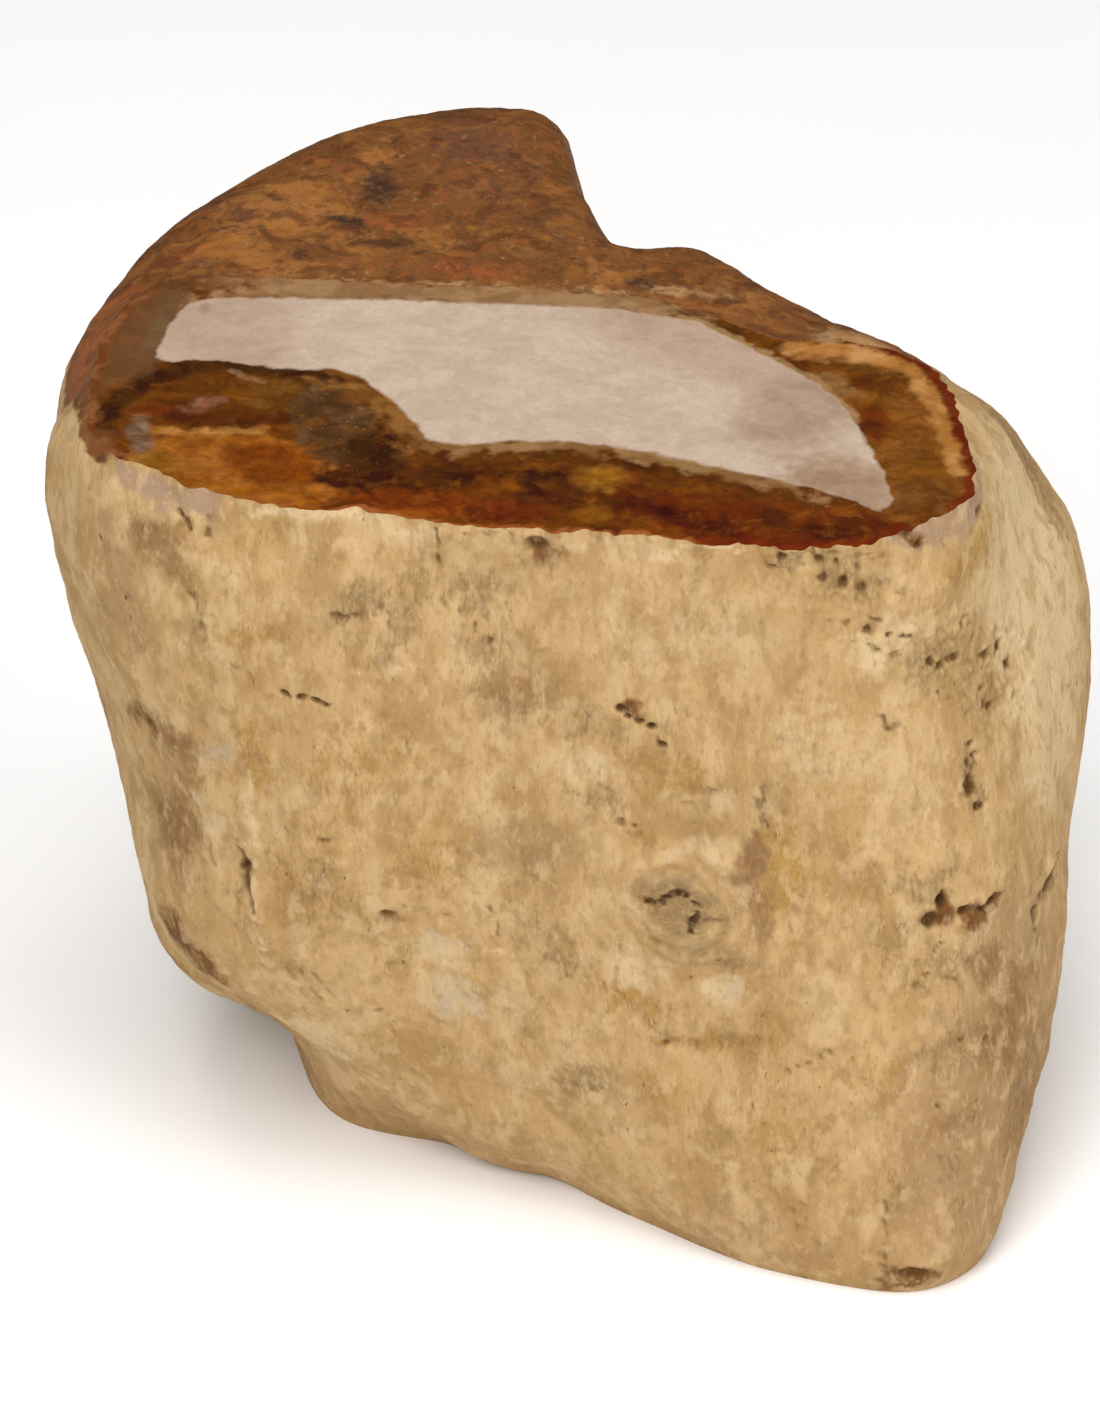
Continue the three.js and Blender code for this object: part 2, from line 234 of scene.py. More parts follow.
# Stains of the brown top, in plan: x, y, half-width, half-depth, strength and, if any, lean.
CAP_STAINS = {
    "gold": stains(
        (-48, 26, 12, 9, 1.0, 10), (-56, 14, 9, 6, 0.8), (-33, 44, 5, 4, 0.8), (-37, 16, 5, 4, 0.7),
        (4, 7, 4, 5, 0.6), (-46, 8, 9, 3, 0.7), (28, 4, 8, 4, 0.6, -30), (-24, 16, 5, 4, 0.4),
        (8, 14, 8, 6, 0.5),
    ),
    "plum": stains(
        (-56, 24, 5, 3, 0.8), (-18, 46, 9, 9, 0.9), (-62, 10, 4, 3, 0.8), (-10, 40, 9, 9, 0.6),
        (-14, 32, 9, 5, 0.7), (-4, 24, 7, 6, 0.4), (37, -4, 3, 2, 0.6, -35),
    ),
    "rust": stains(
        (-31, 22, 5, 2, 0.9, -5), (-38, 37, 3, 3, 0.6), (-63, 14, 4, 3, 0.8), (-14, 8, 5, 3, 0.9),
        (-20, 10, 6, 3, 0.5), (-80, -6, 5, 12, 1.0), (-76, 6, 6, 6, 0.8), (-68, 14, 5, 4, 0.5),
        (54, -5, 8, 2, 0.7, -35),
    ),
    "tan": stains(
        (-20, 3, 16, 2, 0.9), (2, 2, 7, 2, 0.8), (16, 3, 4, 2, 1.0), (-36, 4, 8, 2, 0.7),
        (42, -9, 4, 3, 0.9, -20), (24, 2, 4, 2, 0.6, -10), (48, -8, 9, 4, 1.0, -25),
    ),
    "soot": stains(
        (-33, 32, 4, 5, 1.0), (-32, 38, 3, 3, 0.6), (-38, 22, 3, 2, 1.0), (-41, 23, 2, 2, 0.8),
        (-32, 16, 5, 2, 0.8), (-46, 13, 2, 2, 0.8), (-43, 12, 3, 1, 0.6), (-25, 14, 2, 2, 0.7),
        (-7, 13, 6, 1, 0.6, -25), (11, 4, 3, 2, 0.8), (-56, 4, 9, 1, 0.6), (-70, 8, 3, 3, 0.4),
    ),
}

CAP_LOOKS = {
    "gold": ((158, 104, 54), 2.0), "plum": ((112, 72, 48), 1.0), "rust": ((156, 86, 44), 1.6),
    "tan": ((174, 134, 90), 1.1), "soot": ((86, 60, 42), 2.2),
}

# Zones of the window in plan. They are laid over each other in this order.
# soft: how blurred the edge is, and wobble: how far it wanders.
Patch = namedtuple("Patch", "name x y wide deep lean soft wobble colours")
Stroke = namedtuple("Stroke", "name wide soft wobble colours points")
Outline = namedtuple("Outline", "name soft wobble colours points")
JASPER = [
    Patch("far_brown", -54, 5, 11, 4, 0, 1.8, 1.2, ((118, 74, 40), (144, 102, 68))),
    Outline("right_glass", 2.0, 1.0, ((138, 86, 40), (124, 76, 32)),
            [(38, -13), (53, -17), (61, -36), (63, -48), (50, -56), (44, -40)]),
    Patch("right_top", 47, -19, 6, 3, -25, 2.5, 1.2, ((116, 66, 24), (102, 56, 20))),
    Patch("right_spot", 48, -29, 3, 4, 0, 2.2, 1.2, ((110, 56, 20), (98, 48, 16))),
    Patch("right_olive", 42, -20, 4, 2, -40, 1.8, 1.0, ((142, 102, 60), (126, 86, 46))),
    Patch("right_low", 55, -47, 6, 5, 0, 2.5, 1.2, ((124, 78, 42), (110, 66, 32))),
    Patch("amber", -54, -41, 18, 9, -8, 1.8, 1.2, ((168, 102, 44), (152, 88, 34))),
    Patch("amber_deep", -48, -39, 8, 5, -20, 2.6, 1.4, ((132, 68, 14), (140, 74, 18))),
    Patch("amber_light", -52, -46, 9, 2, -8, 2.0, 1.2, ((166, 102, 42), (152, 88, 30))),
    Patch("yellow", -67, -38, 4, 3, 0, 2.2, 1.2, ((156, 106, 46), (146, 94, 36))),
    Patch("dome", -58, -25, 15, 7, 0, 1.8, 1.0, ((112, 66, 28), (98, 56, 24))),
    Patch("dome_gold", -47, -23, 6, 4, 0, 2.6, 1.2, ((120, 80, 38), (108, 68, 30))),
    Patch("dome_dark", -64, -26, 4, 3, 0, 2.2, 1.0, ((84, 42, 14), (94, 50, 20))),
    Patch("dome_red", -68, -26, 2, 2, 0, 1.8, 0.8, ((122, 62, 20), (112, 54, 16))),
    Patch("dome_low", -52, -29, 10, 2, 0, 2.2, 1.0, ((100, 54, 20), (90, 48, 18))),
    Patch("blob", -37, -28, 9, 11, 0, 2.2, 1.2, ((106, 76, 50), (92, 62, 38))),
    Patch("blob_dark", -33, -37, 6, 6, 0, 2.8, 1.2, ((72, 46, 26), (84, 56, 34))),
    Patch("mauve_spot", -60, -25, 3, 1.5, 20, 1.2, 0.8, ((140, 98, 76), (126, 84, 62))),
    Stroke("tan_strip", 0.9, 1.0, 0.8, ((182, 126, 66), (168, 106, 48)),
           [(-68, -31), (-60, -32), (-50, -31)]),
    Patch("glass_spot", -70, -32, 2, 4, 10, 1.4, 0.8, ((144, 118, 94), (124, 94, 70))),
    Stroke("arc", 2.0, 1.6, 0.8, ((80, 50, 28), (66, 38, 20)),
           [(-77, -35), (-75, -24), (-68, -18), (-59, -15), (-50, -17), (-39, -17), (-33, -22), (-30, -31),
            (-31, -40)]),
    Stroke("arc_light", 0.5, 0.8, 0.5, ((150, 112, 78), (136, 98, 66)), [(-56, -17), (-51, -20)]),
    Stroke("band", 3.2, 2.2, 1.6, ((66, 36, 14), (88, 50, 22)),
           [(-38, -42), (-27, -43), (-12, -42), (0, -45), (10, -48)]),
    Patch("blaze", -24, -48, 13, 3, -5, 1.8, 1.4, ((146, 74, 20), (122, 56, 10))),
    Patch("blaze_far", -13, -44, 4, 2, 0, 2.0, 1.2, ((136, 78, 28), (118, 62, 18))),
    Patch("blaze_red", -11, -50, 6, 3, 0, 2.2, 1.4, ((108, 50, 12), (94, 42, 10))),
    Patch("front_right", 28, -51, 24, 6, -8, 2.2, 1.6, ((116, 60, 14), (102, 48, 8))),
    Patch("brown_mid", 22, -43, 15, 3, -12, 2.4, 1.6, ((118, 68, 24), (104, 56, 16))),
    Patch("gold", 4, -42, 4, 3, 0, 2.0, 1.0, ((158, 106, 42), (140, 88, 34))),
    Patch("gold_low", 4, -50, 3, 2, 0, 2.2, 1.2, ((132, 84, 34), (118, 70, 24))),
    Stroke("streaks", 1.4, 2.0, 1.6, ((72, 32, 6), (84, 40, 10)), [(8, -48), (18, -52), (26, -55)]),
    Patch("near_spot", 31, -51, 3, 2, 0, 2.0, 1.0, ((74, 40, 18), (84, 46, 18))),
    Patch("far_spot", 39, -54, 4, 1.5, -10, 1.6, 1.0, ((60, 28, 10), (74, 36, 12))),
    Stroke("dark_line", 0.9, 1.2, 0.8, ((94, 58, 26), (110, 70, 34)),
           [(17, -2), (31, -10), (40, -15), (52, -18)]),
]
# Zones without the brown stone's clouds and threads.
GLASS = [
    Outline("left_glass", 2.4, 0.8, ((112, 76, 48), (122, 82, 52)),
            [(-82, -4), (-72, 6), (-64, 5), (-64, -4), (-69, -14), (-73, -21), (-80, -20)]),
    Patch("left_olive", -68, -7, 2, 9, -10, 2.0, 0.8, ((122, 92, 64), (114, 82, 56))),
    Stroke("chalk", 2.0, 1.8, 1.2, ((204, 152, 94), (182, 124, 66)), [(36, -12), (44, -12), (52, -15)]),
    Stroke("chalk_strip", 1.5, 1.8, 1.0, ((198, 144, 84), (174, 116, 58)),
           [(54, -16), (58, -24), (61, -40)]),
]
CORE = [
    Outline("core", 0.8, 0.4, ((204, 179, 156), (212, 188, 166)), [
        (-68, -15), (-68, -10), (-65, -2), (-61, 1), (-20, 0), (17, -3), (28, -11), (42, -22), (48, -37),
        (51, -51), (40, -45), (24, -40), (8, -35), (-6, -33), (-23, -35), (-27, -27), (-37, -16),
        (-46, -17), (-60, -14),
    ]),
    Patch("core_left", -58, -8, 12, 12, 0, 7, 2.0, ((190, 162, 139), (198, 170, 148))),
    Patch("core_far", 20, -10, 22, 7, -30, 6, 1.5, ((188, 160, 136), (197, 169, 146))),
    Patch("core_shade", 36, -26, 8, 12, -50, 6, 2.0, ((174, 147, 124), (186, 159, 136))),
    Patch("core_low", 43, -44, 10, 6, -20, 5, 2.0, ((178, 147, 120), (166, 134, 106))),
    Patch("core_spot", -61, -2, 1, 1, 0, 1.6, 0.5, ((156, 128, 106), (166, 138, 116))),
]

# Bands along the rim, measured inwards, or along the core's edge, measured outwards: how near and how
# far, where in plan (x from and to, y from and to), colours, softness.
END_FADE = 0.22  # how steeply a band begins and ends
Band = namedtuple("Band", "name near far x y colours soft")
CORE_BANDS = [
    Band("far_strip", -1, 5, (-58, 18), (-4, 9), ((168, 130, 92), (148, 110, 74)), 2.4),
    Band("margin", -1, 4.4, (-40, -18), (-36, -16), ((150, 102, 54), (122, 76, 36)), 2.4),
    Band("under_fringe", 2.0, 4.0, (-24, 36), (-60, -30), ((80, 46, 20), (98, 60, 28)), 2.0),
    Band("fringe", -1, 2.2, (-24, 36), (-60, -30), ((158, 120, 78), (138, 98, 58)), 1.8),
    Band("tan_line", -1, 1.2, (16, 50), (-30, 0), ((166, 126, 84), (150, 112, 72)), 0.8),
]
RIM_BANDS = [
    Band("rim_left", -9, 1.8, (-90, -62), (-34, 12), ((118, 76, 46), (106, 68, 40)), 1.8),
    Band("rim_crust", -9, 1.1, (-90, -70), (-37, 4), ((144, 90, 56), (118, 68, 38)), 1.0),
    Band("rim_front", -9, 0.6, (-52, 19), (-60, -46), ((150, 76, 30), (166, 98, 52)), 0.8),
    Band("rim_red", -9, 1.4, (19, 52), (-60, -50), ((128, 56, 28), (110, 44, 18)), 1.2),
    Band("rim_right", -9, 1.4, (50, 70), (-50, -9), ((122, 54, 32), (104, 42, 24)), 1.2),
]

FLECKS = Stain(-36, -31, 9, 11, 0.35)  # where the brown stone has the most pale flecks
FLECKS_ELSEWHERE = 0.04  # how strongly they show outside that
GLINTS = Stain(43, -42, 7, 9, 0.4, -40)  # where pale glints show in the window

# ---- colours, as they look in the studio's light ----
BARK = ((196, 158, 105), (207, 171, 119))
BARK_OLIVE = (176, 140, 88)
BARK_PALE = (220, 187, 138)
BARK_SHADE = (158, 124, 80)
BARK_DASH = (134, 99, 58)
# painted shade for the hollows of the bark's relief
BARK_HOLLOW_SHADE = (150, 114, 70)
MARK = (98, 66, 32)
KNOT_MARK = (70, 52, 30)
CAP = ((132, 82, 40), (114, 72, 38))
# a painted sheen where the brown top turns down at the back
CAP_EDGE_SHEEN = (138, 96, 60)
CAP_GOLD = (172, 112, 50)
CAP_SHADE = (88, 52, 28)
CAP_RUST = (160, 84, 38)
CAP_DARK = (80, 48, 28)
CAP_PALE = (190, 146, 98)
CAP_SOOT = (62, 42, 30)
BROWN_STONE = ((118, 66, 24), (98, 54, 20))
WARM_CLOUD = (164, 98, 36)
DARK_THREAD = (70, 38, 12)
PALE_FLECK = (180, 152, 128)
GLINT = (228, 210, 190)
FOOT = ((176, 140, 100), (140, 96, 62))
SAW_MARK = (110, 82, 56)
PALE_FLOOR = ((253, 252, 251), (250, 249, 248))
BARK_LIGHT = 1.27  # how strongly the studio lights each surface
CAP_LIGHT = 1.3
WINDOW_LIGHT = 1.36
WINDOW_GLOSS = 0.011  # the light that the polish itself sends back


def linear(colour, light=1.0, gloss=0.0):
    """The linear colour, with alpha, of a surface that looks like an sRGB colour in that light."""
    shares = [c / 255 for c in colour]
    values = [s / 12.92 if s <= 0.04045 else ((s + 0.055) / 1.055) ** 2.4 for s in shares]
    return (*[max(v - gloss, 0.001) / light for v in values], 1.0)


def bark_tone(colour):
    return linear(colour, BARK_LIGHT)


def cap_tone(colour):
    return linear(colour, CAP_LIGHT)


def polished(colour):
    return linear(colour, WINDOW_LIGHT, WINDOW_GLOSS)


# ---- numbers over many points ----
def hashed(cells, seed):
    """Three pseudo-random numbers from -1 to 1 for each whole-numbered cell."""
    key = cells @ np.array([73856093, 19349663, 83492791]) + seed * 1013904223
    parts = []
    for salt in (1274126177, 2246822519, 3266489917):
        mixed = ((key ^ (key >> 13)) * salt) & 0xFFFFFFFF
        mixed = ((mixed ^ (mixed >> 15)) * 2654435761) & 0xFFFFFFFF
        parts.append((mixed ^ (mixed >> 16)) / 0x7FFFFFFF - 1.0)
    return np.stack(parts, axis=-1)


def noise(points, size, seed):
    """Smooth noise, about -1 to 1, whose features are about size across: one number or one an axis."""
    scaled = points / np.asarray(size, float)
    cells = np.floor(scaled).astype(np.int64)
    inside = scaled - cells
    ease = inside**3 * (inside * (inside * 6 - 15) + 10)
    total = np.zeros(len(points))
    for corner in np.ndindex(2, 2, 2):
        slope = hashed(cells + corner, seed)
        weight = np.prod(np.where(corner, ease, 1 - ease), axis=1)
        total += weight * ((inside - corner) * slope).sum(axis=1)
    return total * 1.6


def smooth_step(low, high, value):
    share = np.clip((value - low) / (high - low), 0, 1)
    return share * share * (3 - 2 * share)


def line_distance(points, line):
    """How far each 2-D point is from a line through the given points."""
    nearest = np.full(len(points), np.inf)
    for a, b in zip(line[:-1], line[1:]):
        start = np.array(a, float)
        along = np.array(b, float) - start
        share = np.clip((points - start) @ along / (along @ along), 0, 1)
        nearest = np.minimum(nearest, np.linalg.norm(points - start - share[:, None] * along, axis=1))
    return nearest


def inside_outline(points, outline):
    crossings = np.zeros(len(points), bool)
    x, y = points[:, 0], points[:, 1]
    for (ax, ay), (bx, by) in zip(outline, np.roll(outline, -1, axis=0)):
        if ay == by:
            continue
        spans = (ay > y) != (by > y)
        crossings ^= spans & (x < ax + (y - ay) * (bx - ax) / (by - ay))
    return crossings


def pit_rows():
    """The pits of each row, a little uneven in place and size."""
    pits = []
    for row, (count, wide, high, depth, start, end) in enumerate(PIT_ROWS):
        for i in range(count):
            aside, above, spread = hashed(np.array([row, i, 0]), 17)
            along = i / (count - 1)
            x = start[0] + along * (end[0] - start[0]) + PIT_SCATTER * aside
            z = start[1] + along * (end[1] - start[1]) + PIT_SCATTER * above
            size = 1 + PIT_SPREAD * spread
            pits.append(Hole(x, z, wide * size, high * size, depth))
    return pits


HOLES = PITS + pit_rows()


def depth_in(points, outline):
    """How deep each 2-D point lies in an outline: negative outside."""
    closed = [*outline, outline[0]]
    away = line_distance(points, closed)
    return np.where(inside_outline(points, np.array(outline, float)), away, -away)


def rounded(outline, passes=2):
    """A closed outline with its corners cut, so that it reads as a curve."""
    ring = np.array(outline, float)
    for _ in range(passes):
        following = np.roll(ring, -1, axis=0)
        ring = np.stack([0.75 * ring + 0.25 * following, 0.25 * ring + 0.75 * following], axis=1)
        ring = ring.reshape(-1, 2)
    return ring


def curved(line, passes=2):
    """An open line with its corners cut and its ends kept."""
    path = np.array(line, float)
    for _ in range(passes if len(path) > 2 else 0):
        inner = np.stack([0.75 * path[:-1] + 0.25 * path[1:], 0.25 * path[:-1] + 0.75 * path[1:]], axis=1)
        path = np.vstack([path[:1], inner.reshape(-1, 2)[1:-1], path[-1:]])
    return path


def leaning(points, x, z, wide, high, lean):
    """How far points are from the middle of a leaning ellipse, as a share of its size."""
    turn = math.radians(lean)
    aside = points[:, 0] - x
    above = points[:, 1] - z
    across = (aside * math.cos(turn) + above * math.sin(turn)) / wide
    up = (above * math.cos(turn) - aside * math.sin(turn)) / high
    return np.hypot(across, up)


def ellipse(points, stain):
    """1 at the middle of a stain, and 0 from one and a half times its size."""
    away = leaning(points, stain.x, stain.z, stain.wide, stain.high, stain.lean)
    return 1 - smooth_step(0.3, 1.5, away)


# ---- the CAD surface ----
def open_sides(node):
    """The CAD node's natural surface as quads, its two flat faces left out, and the window's plane."""
    bm = bmesh.new()
    bm.from_mesh(node.data)
    bmesh.ops.remove_doubles(bm, verts=bm.verts, dist=1e-6)
    window = max((f for f in bm.faces if f.normal.z > 0.9), key=lambda f: f.calc_area())
    normal = window.normal.copy()
    height = window.verts[0].co.dot(normal)
    foot = min(v.co.z for v in bm.verts)

    def flat(face):
        on_window = all(abs(v.co.dot(normal) - height) < 2e-5 for v in face.verts)
        return on_window or all(v.co.z - foot < 2e-5 for v in face.verts)

    bmesh.ops.delete(bm, geom=[f for f in bm.faces if flat(f)], context="FACES")
    bmesh.ops.join_triangles(
        bm, faces=bm.faces, angle_face_threshold=math.pi, angle_shape_threshold=math.pi
    )
    mesh = bpy.data.meshes.new("sides")
    bm.to_mesh(mesh)
    bm.free()
    return mesh, np.array(normal), height / MM


def smoothed(mesh):
    """The mesh after subdivision, as a bmesh in millimetres."""
    holder = bpy.data.objects.new("holder", mesh)
    bpy.context.scene.collection.objects.link(holder)
    modifier = holder.modifiers.new("smooth", "SUBSURF")
    modifier.levels = modifier.render_levels = SMOOTHING
    graph = bpy.context.evaluated_depsgraph_get()
    bm = bmesh.new()
    bm.from_mesh(holder.evaluated_get(graph).to_mesh())
    bmesh.ops.scale(bm, vec=(1 / MM,) * 3, verts=bm.verts)
    bpy.data.objects.remove(holder)
    bpy.data.meshes.remove(mesh)
    return bm


def refine(bm, wanted):
    """Halves the faces whose middles are wanted."""
    middles = np.array([f.calc_center_median() for f in bm.faces])
    chosen = wanted(middles)
    edges = {e for f, yes in zip(bm.faces, chosen) if yes for e in f.edges}
    bmesh.ops.subdivide_edges(bm, edges=sorted(edges, key=lambda e: e.index), cuts=1, use_grid_fill=True)
    many = [f for f in bm.faces if len(f.verts) > 4]
    bmesh.ops.triangulate(bm, faces=many)
    bm.verts.index_update()
    bm.edges.index_update()


def near_marks(middles, margin, least):
    """True at the front's marks of at least that depth, and as far round them as the margin."""
    front = middles[:, 1] < FINE_END
    plan = middles[:, [0, 2]]
    near = np.zeros(len(middles), bool)
    for hole in (mark for mark in HOLES if mark.depth >= least):
        across = (plan[:, 0] - hole.x) / (hole.wide + margin)
        up = (plan[:, 1] - hole.z) / (hole.high + margin)
        near |= np.hypot(across, up) < 1
    for crack in (mark for mark in CRACKS if mark.depth >= least):
        near |= line_distance(plan, curved(crack.points)) < crack.wide + margin
    if least < GRANULAR_LEAST:
        near |= granular_share(plan) > 0.5
    return near & front


def loops(bm):
    """The open edge loops of a surface as lists of vertex numbers, the highest first."""
    following = {}
    for edge in bm.edges:
        if edge.is_boundary:
            loop = edge.link_loops[0]
            following[loop.vert.index] = loop.link_loop_next.vert.index
    found = []
    while following:
        first, at = min(following.items())
        ring = [first]
        while at != first:
            ring.append(at)
            at = following.pop(at)
        following.pop(first, None)
        found.append(ring)
    bm.verts.ensure_lookup_table()
    return sorted(found, key=lambda ring: -bm.verts[ring[0]].co.z)


# ---- shape ----
def vertex_normals(points, faces):
    normals = np.zeros_like(points)
    for corners in (3, 4):
        group = np.array([f for f in faces if len(f) == corners], int).reshape(-1, corners)
        if not len(group):
            continue
        across = points[group[:, 2]] - points[group[:, 0]]
        other = points[group[:, -1]] - points[group[:, 1]]
        area = np.cross(across, other)
        for corner in range(corners):
            np.add.at(normals, group[:, corner], area)
    return normals / np.linalg.norm(normals, axis=1, keepdims=True)


def nearest_of(points, few):
    """For each point, which of the few points is nearest and how far it is."""
    tree = KDTree(len(few))
    for i, p in enumerate(few):
        tree.insert(p, i)
    tree.balance()
    found = [tree.find(p)[1:] for p in points]
    return np.array([i for i, _ in found]), np.array([d for _, d in found])


def swell(points, normals):
    """Moves the smooth stone a little outwards or inwards round each of the SWELLS."""
    for x, y, z, radius, amount in SWELLS:
        away = np.linalg.norm(points - (x, y, z), axis=1) / radius
        points += normals * (amount * np.exp(-away * away))[:, None]


def pull_rim(points, ring, tilt):
    """Moves the rim to its corners in plan, and the stone beside it by less and less."""
    outline = rounded(RIM, 2)
    rim = points[ring]
    closed = np.vstack([outline, outline[:1]])
    best = np.full(len(rim), np.inf)
    target = rim[:, :2].copy()
    for a, b in zip(closed[:-1], closed[1:]):
        along = b - a
        share = np.clip((rim[:, :2] - a) @ along / (along @ along), 0, 1)
        spot = a + share[:, None] * along
        away = np.linalg.norm(rim[:, :2] - spot, axis=1)
        target = np.where((away < best)[:, None], spot, target)
        best = np.minimum(best, away)
    move = target - rim[:, :2]
    for _ in range(4):
        move = (np.roll(move, 1, axis=0) + 2 * move + np.roll(move, -1, axis=0)) / 4
    length = np.linalg.norm(move, axis=1, keepdims=True)
    move *= np.minimum(1, RIM_PULL / np.maximum(length, 1e-9))
    which, away = nearest_of(points, rim)
    share = (1 - smooth_step(0, RIM_REACH, away))[:, None]
    shift = move[which] * share
    points[:, :2] += shift
    points[:, 2] += shift[:, 1] * tilt * (1 - smooth_step(0, 3, away))
    return away


def wear_rim(points, ring, away):
    """Small chips along the rim: it is never quite straight."""
    rim = points[ring]
    chips = 0.5 * noise(rim, 5, 91) + 0.6 * noise(rim, 2.6, 92) + 0.35 * noise(rim, 1.4, 93)
    along = np.roll(rim, -1, axis=0) - np.roll(rim, 1, axis=0)
    outwards = np.column_stack([along[:, 1], -along[:, 0]])
    outwards /= np.linalg.norm(outwards, axis=1, keepdims=True)
    which, _ = nearest_of(points, rim)
    share = 1 - smooth_step(0, 1.6, away)
    points[:, :2] += outwards[which] * (chips[which] * share)[:, None]


def grain_of(points):
    """Coordinates that follow the fibres: upright, and parted round the knot like water round a stone."""
    x = points[:, 0] - KNOT[0]
    z = points[:, 2] - KNOT[1]
    squared = x * x + z * z + 9.0
    share = np.where(points[:, 1] < 0, KNOT_RADIUS**2 / squared, 0)
    grain = points.copy()
    grain[:, 0] -= x * share * 0.9
    grain[:, 2] += z * share * 0.9
    return grain


def cap_share(points, normals):
    """1 on the brown top behind the window, and 0 on the bark."""
    uneven = 0.10 * noise(points, 7, 11) + 0.06 * noise(points, 2.5, 12)
    up = smooth_step(-0.20, 0.05, normals[:, 2] + uneven)
    wander = 9 * noise(points, 19, 16) + 4 * noise(points, 7, 17) + 2 * noise(points, 3, 13)
    right_end = 1 - smooth_step(CAP_END - 4, CAP_END + 4, points[:, 0] + 0.4 * wander)
    behind = smooth_step(CAP_FRONT - 3, CAP_FRONT + 3, points[:, 1] + 2 * noise(points, 6, 14))
    foot = CAP_FOOT - CAP_FALL * np.maximum(points[:, 0], 0)
    high = smooth_step(-3, 3, points[:, 2] + 0.6 * wander - foot)
    return up * right_end * behind * high


def crust_share(points, rim_away):
    """1 on the strip of brown crust outside the rim's left end."""
    strip = 1 - smooth_step(2.0, 4.5, rim_away + 1.2 * noise(points, 3, 15))
    left = 1 - smooth_step(CRUST_END - 3, CRUST_END + 3, points[:, 0])
    return strip * left * smooth_step(CRUST_FRONT - 2, CRUST_FRONT + 2, points[:, 1])


def bark_relief(points, grain):
    lumps = 0.80 * noise(points, 24, 21) + 0.45 * noise(points, 11, 22)
    strands = 0.30 * noise(grain, (4.5, 4.5, 11), 23) + 0.16 * noise(grain, (2.4, 2.4, 8), 24)
    furrows = -0.5 * np.maximum(noise(grain, (6, 6, 30), 25) - 0.3, 0)
    dents = -0.4 * smooth_step(0.3, 0.9, noise(points, (6, 6, 8), 28))
    pits = -0.5 * smooth_step(0.62, 0.85, noise(points, (1.9, 1.9, 2.6), 27))
    return lumps, strands + furrows + dents + pits + 0.12 * noise(points, 1.8, 26)


def cap_relief(points):
    swells = 0.5 * noise(points, (16, 9, 9), 31) + 0.25 * noise(points, (7, 4, 4), 32)
    pits = -0.6 * smooth_step(0.55, 0.9, noise(points, 6, 33))
    return swells, 0.16 * noise(points, 1.9, 34) + pits


def granular_share(plan):
    """The band of small lumps that runs down to the right under the window's right corner."""
    return 1 - smooth_step(3, 10, line_distance(plan, curved(GRANULAR_BAND)))


def knot_rings(plan):
    """Low rings round the knot, which fade out away from it."""
    away = leaning(plan, *KNOT, 1.0, 0.8, KNOT_LEAN)
    fade = smooth_step(2.5, 5, away) * (1 - smooth_step(9, 15, away))
    return RING_HEIGHT * np.cos(2 * math.pi * away / RING_SPACING) * fade


def warped(points, plan, wide, fine):
    """The plan pushed about a little, so that what is drawn on it turns out uneven."""
    push = [wide * noise(points, 3.5, seed) + fine * noise(points, 1.3, seed + 1) for seed in (45, 47)]
    return plan + np.stack(push, axis=1)


def granular_relief(points, plan):
    """The lumps and pits of the granular band, and how dark its pits are."""
    lumps = 0.9 * np.abs(noise(points, 3.0, 43)) + 0.5 * np.abs(noise(points, 1.7, 44)) - 0.45
    # Pits where the relief sinks, painted dark there: painted shade.
    pits = smooth_step(0.22, 0.55, noise(points, 1.9, 48)) * smooth_step(-0.4, 0.3, noise(points, 6, 49))
    share = granular_share(plan)
    return share * (lumps - 0.5 * pits), 0.8 * pits * share


def front_relief(points, plan):
    """The named marks of the front, and how dark each makes the stone."""
    relief = np.zeros(len(points))
    dark = np.zeros(len(points))
    uneven = warped(points, plan, 0.55, 0.35)
    breaks = noise(points, 2.0, 41)
    # Pits and cracks are painted darker the deeper they are: painted shade in them, over a darker tone of
    # their own.
    for hole in HOLES:
        away = np.hypot((uneven[:, 0] - hole.x) / hole.wide, (uneven[:, 1] - hole.z) / hole.high)
        pit = 1 - smooth_step(0.3, 1.2, away)
        relief -= hole.depth * pit
        dark = np.maximum(dark, min(0.9, 0.25 + 0.65 * hole.depth) * pit)
    for crack in CRACKS:
        width = crack.wide * (1 + 0.7 * breaks)
        cut = 1 - smooth_step(0.2, 1.7, line_distance(uneven, curved(crack.points)) / width)
        cut *= smooth_step(-0.5, 0.05, breaks)
        relief -= crack.depth * cut
        dark = np.maximum(dark, min(0.85, crack.depth) * cut)
    for height, width, line in RIDGES:
        away = line_distance(uneven, curved(line)) / width
        relief += height * np.exp(-away * away)
    relief += knot_rings(uneven)
    lumps, pits = granular_relief(points, plan)
    return relief + lumps, np.maximum(dark, pits)


def shape_stone(points, normals, rim_away, window_normal):
    """Carves the natural surface. Returns the new points and masks for the material."""
    grain = grain_of(points)
    plan = points[:, [0, 2]]
    cap = np.maximum(cap_share(points, normals), crust_share(points, rim_away))
    front = (points[:, 1] < FRONT_END) & (normals[:, 1] < 0.3)
    marks, dark = front_relief(points, plan)
    lumps, bark = bark_relief(points, grain)
    bark += np.where(front, marks, 0)
    swells, top = cap_relief(points)
    fine = bark * (1 - cap) + top * cap
    relief = (lumps * (1 - cap) + swells * cap + fine) * smooth_step(0, 6, points[:, 2])
    move = normals * relief[:, None]
    held = 1 - smooth_step(0, 2.5, rim_away)
    move -= (move @ window_normal * held)[:, None] * window_normal
    # Painted shade where the fine relief sinks, and a painted highlight where it rises.
    masks = {
        "cap": cap, "hollow_shade": smooth_step(0.0, 0.8, -fine), "crest_highlight": smooth_step(0.1, 0.7, fine),
        "dark": np.where(front, dark, 0) * (1 - cap), "front": front.astype(float),
    }
    return points + move, grain, masks


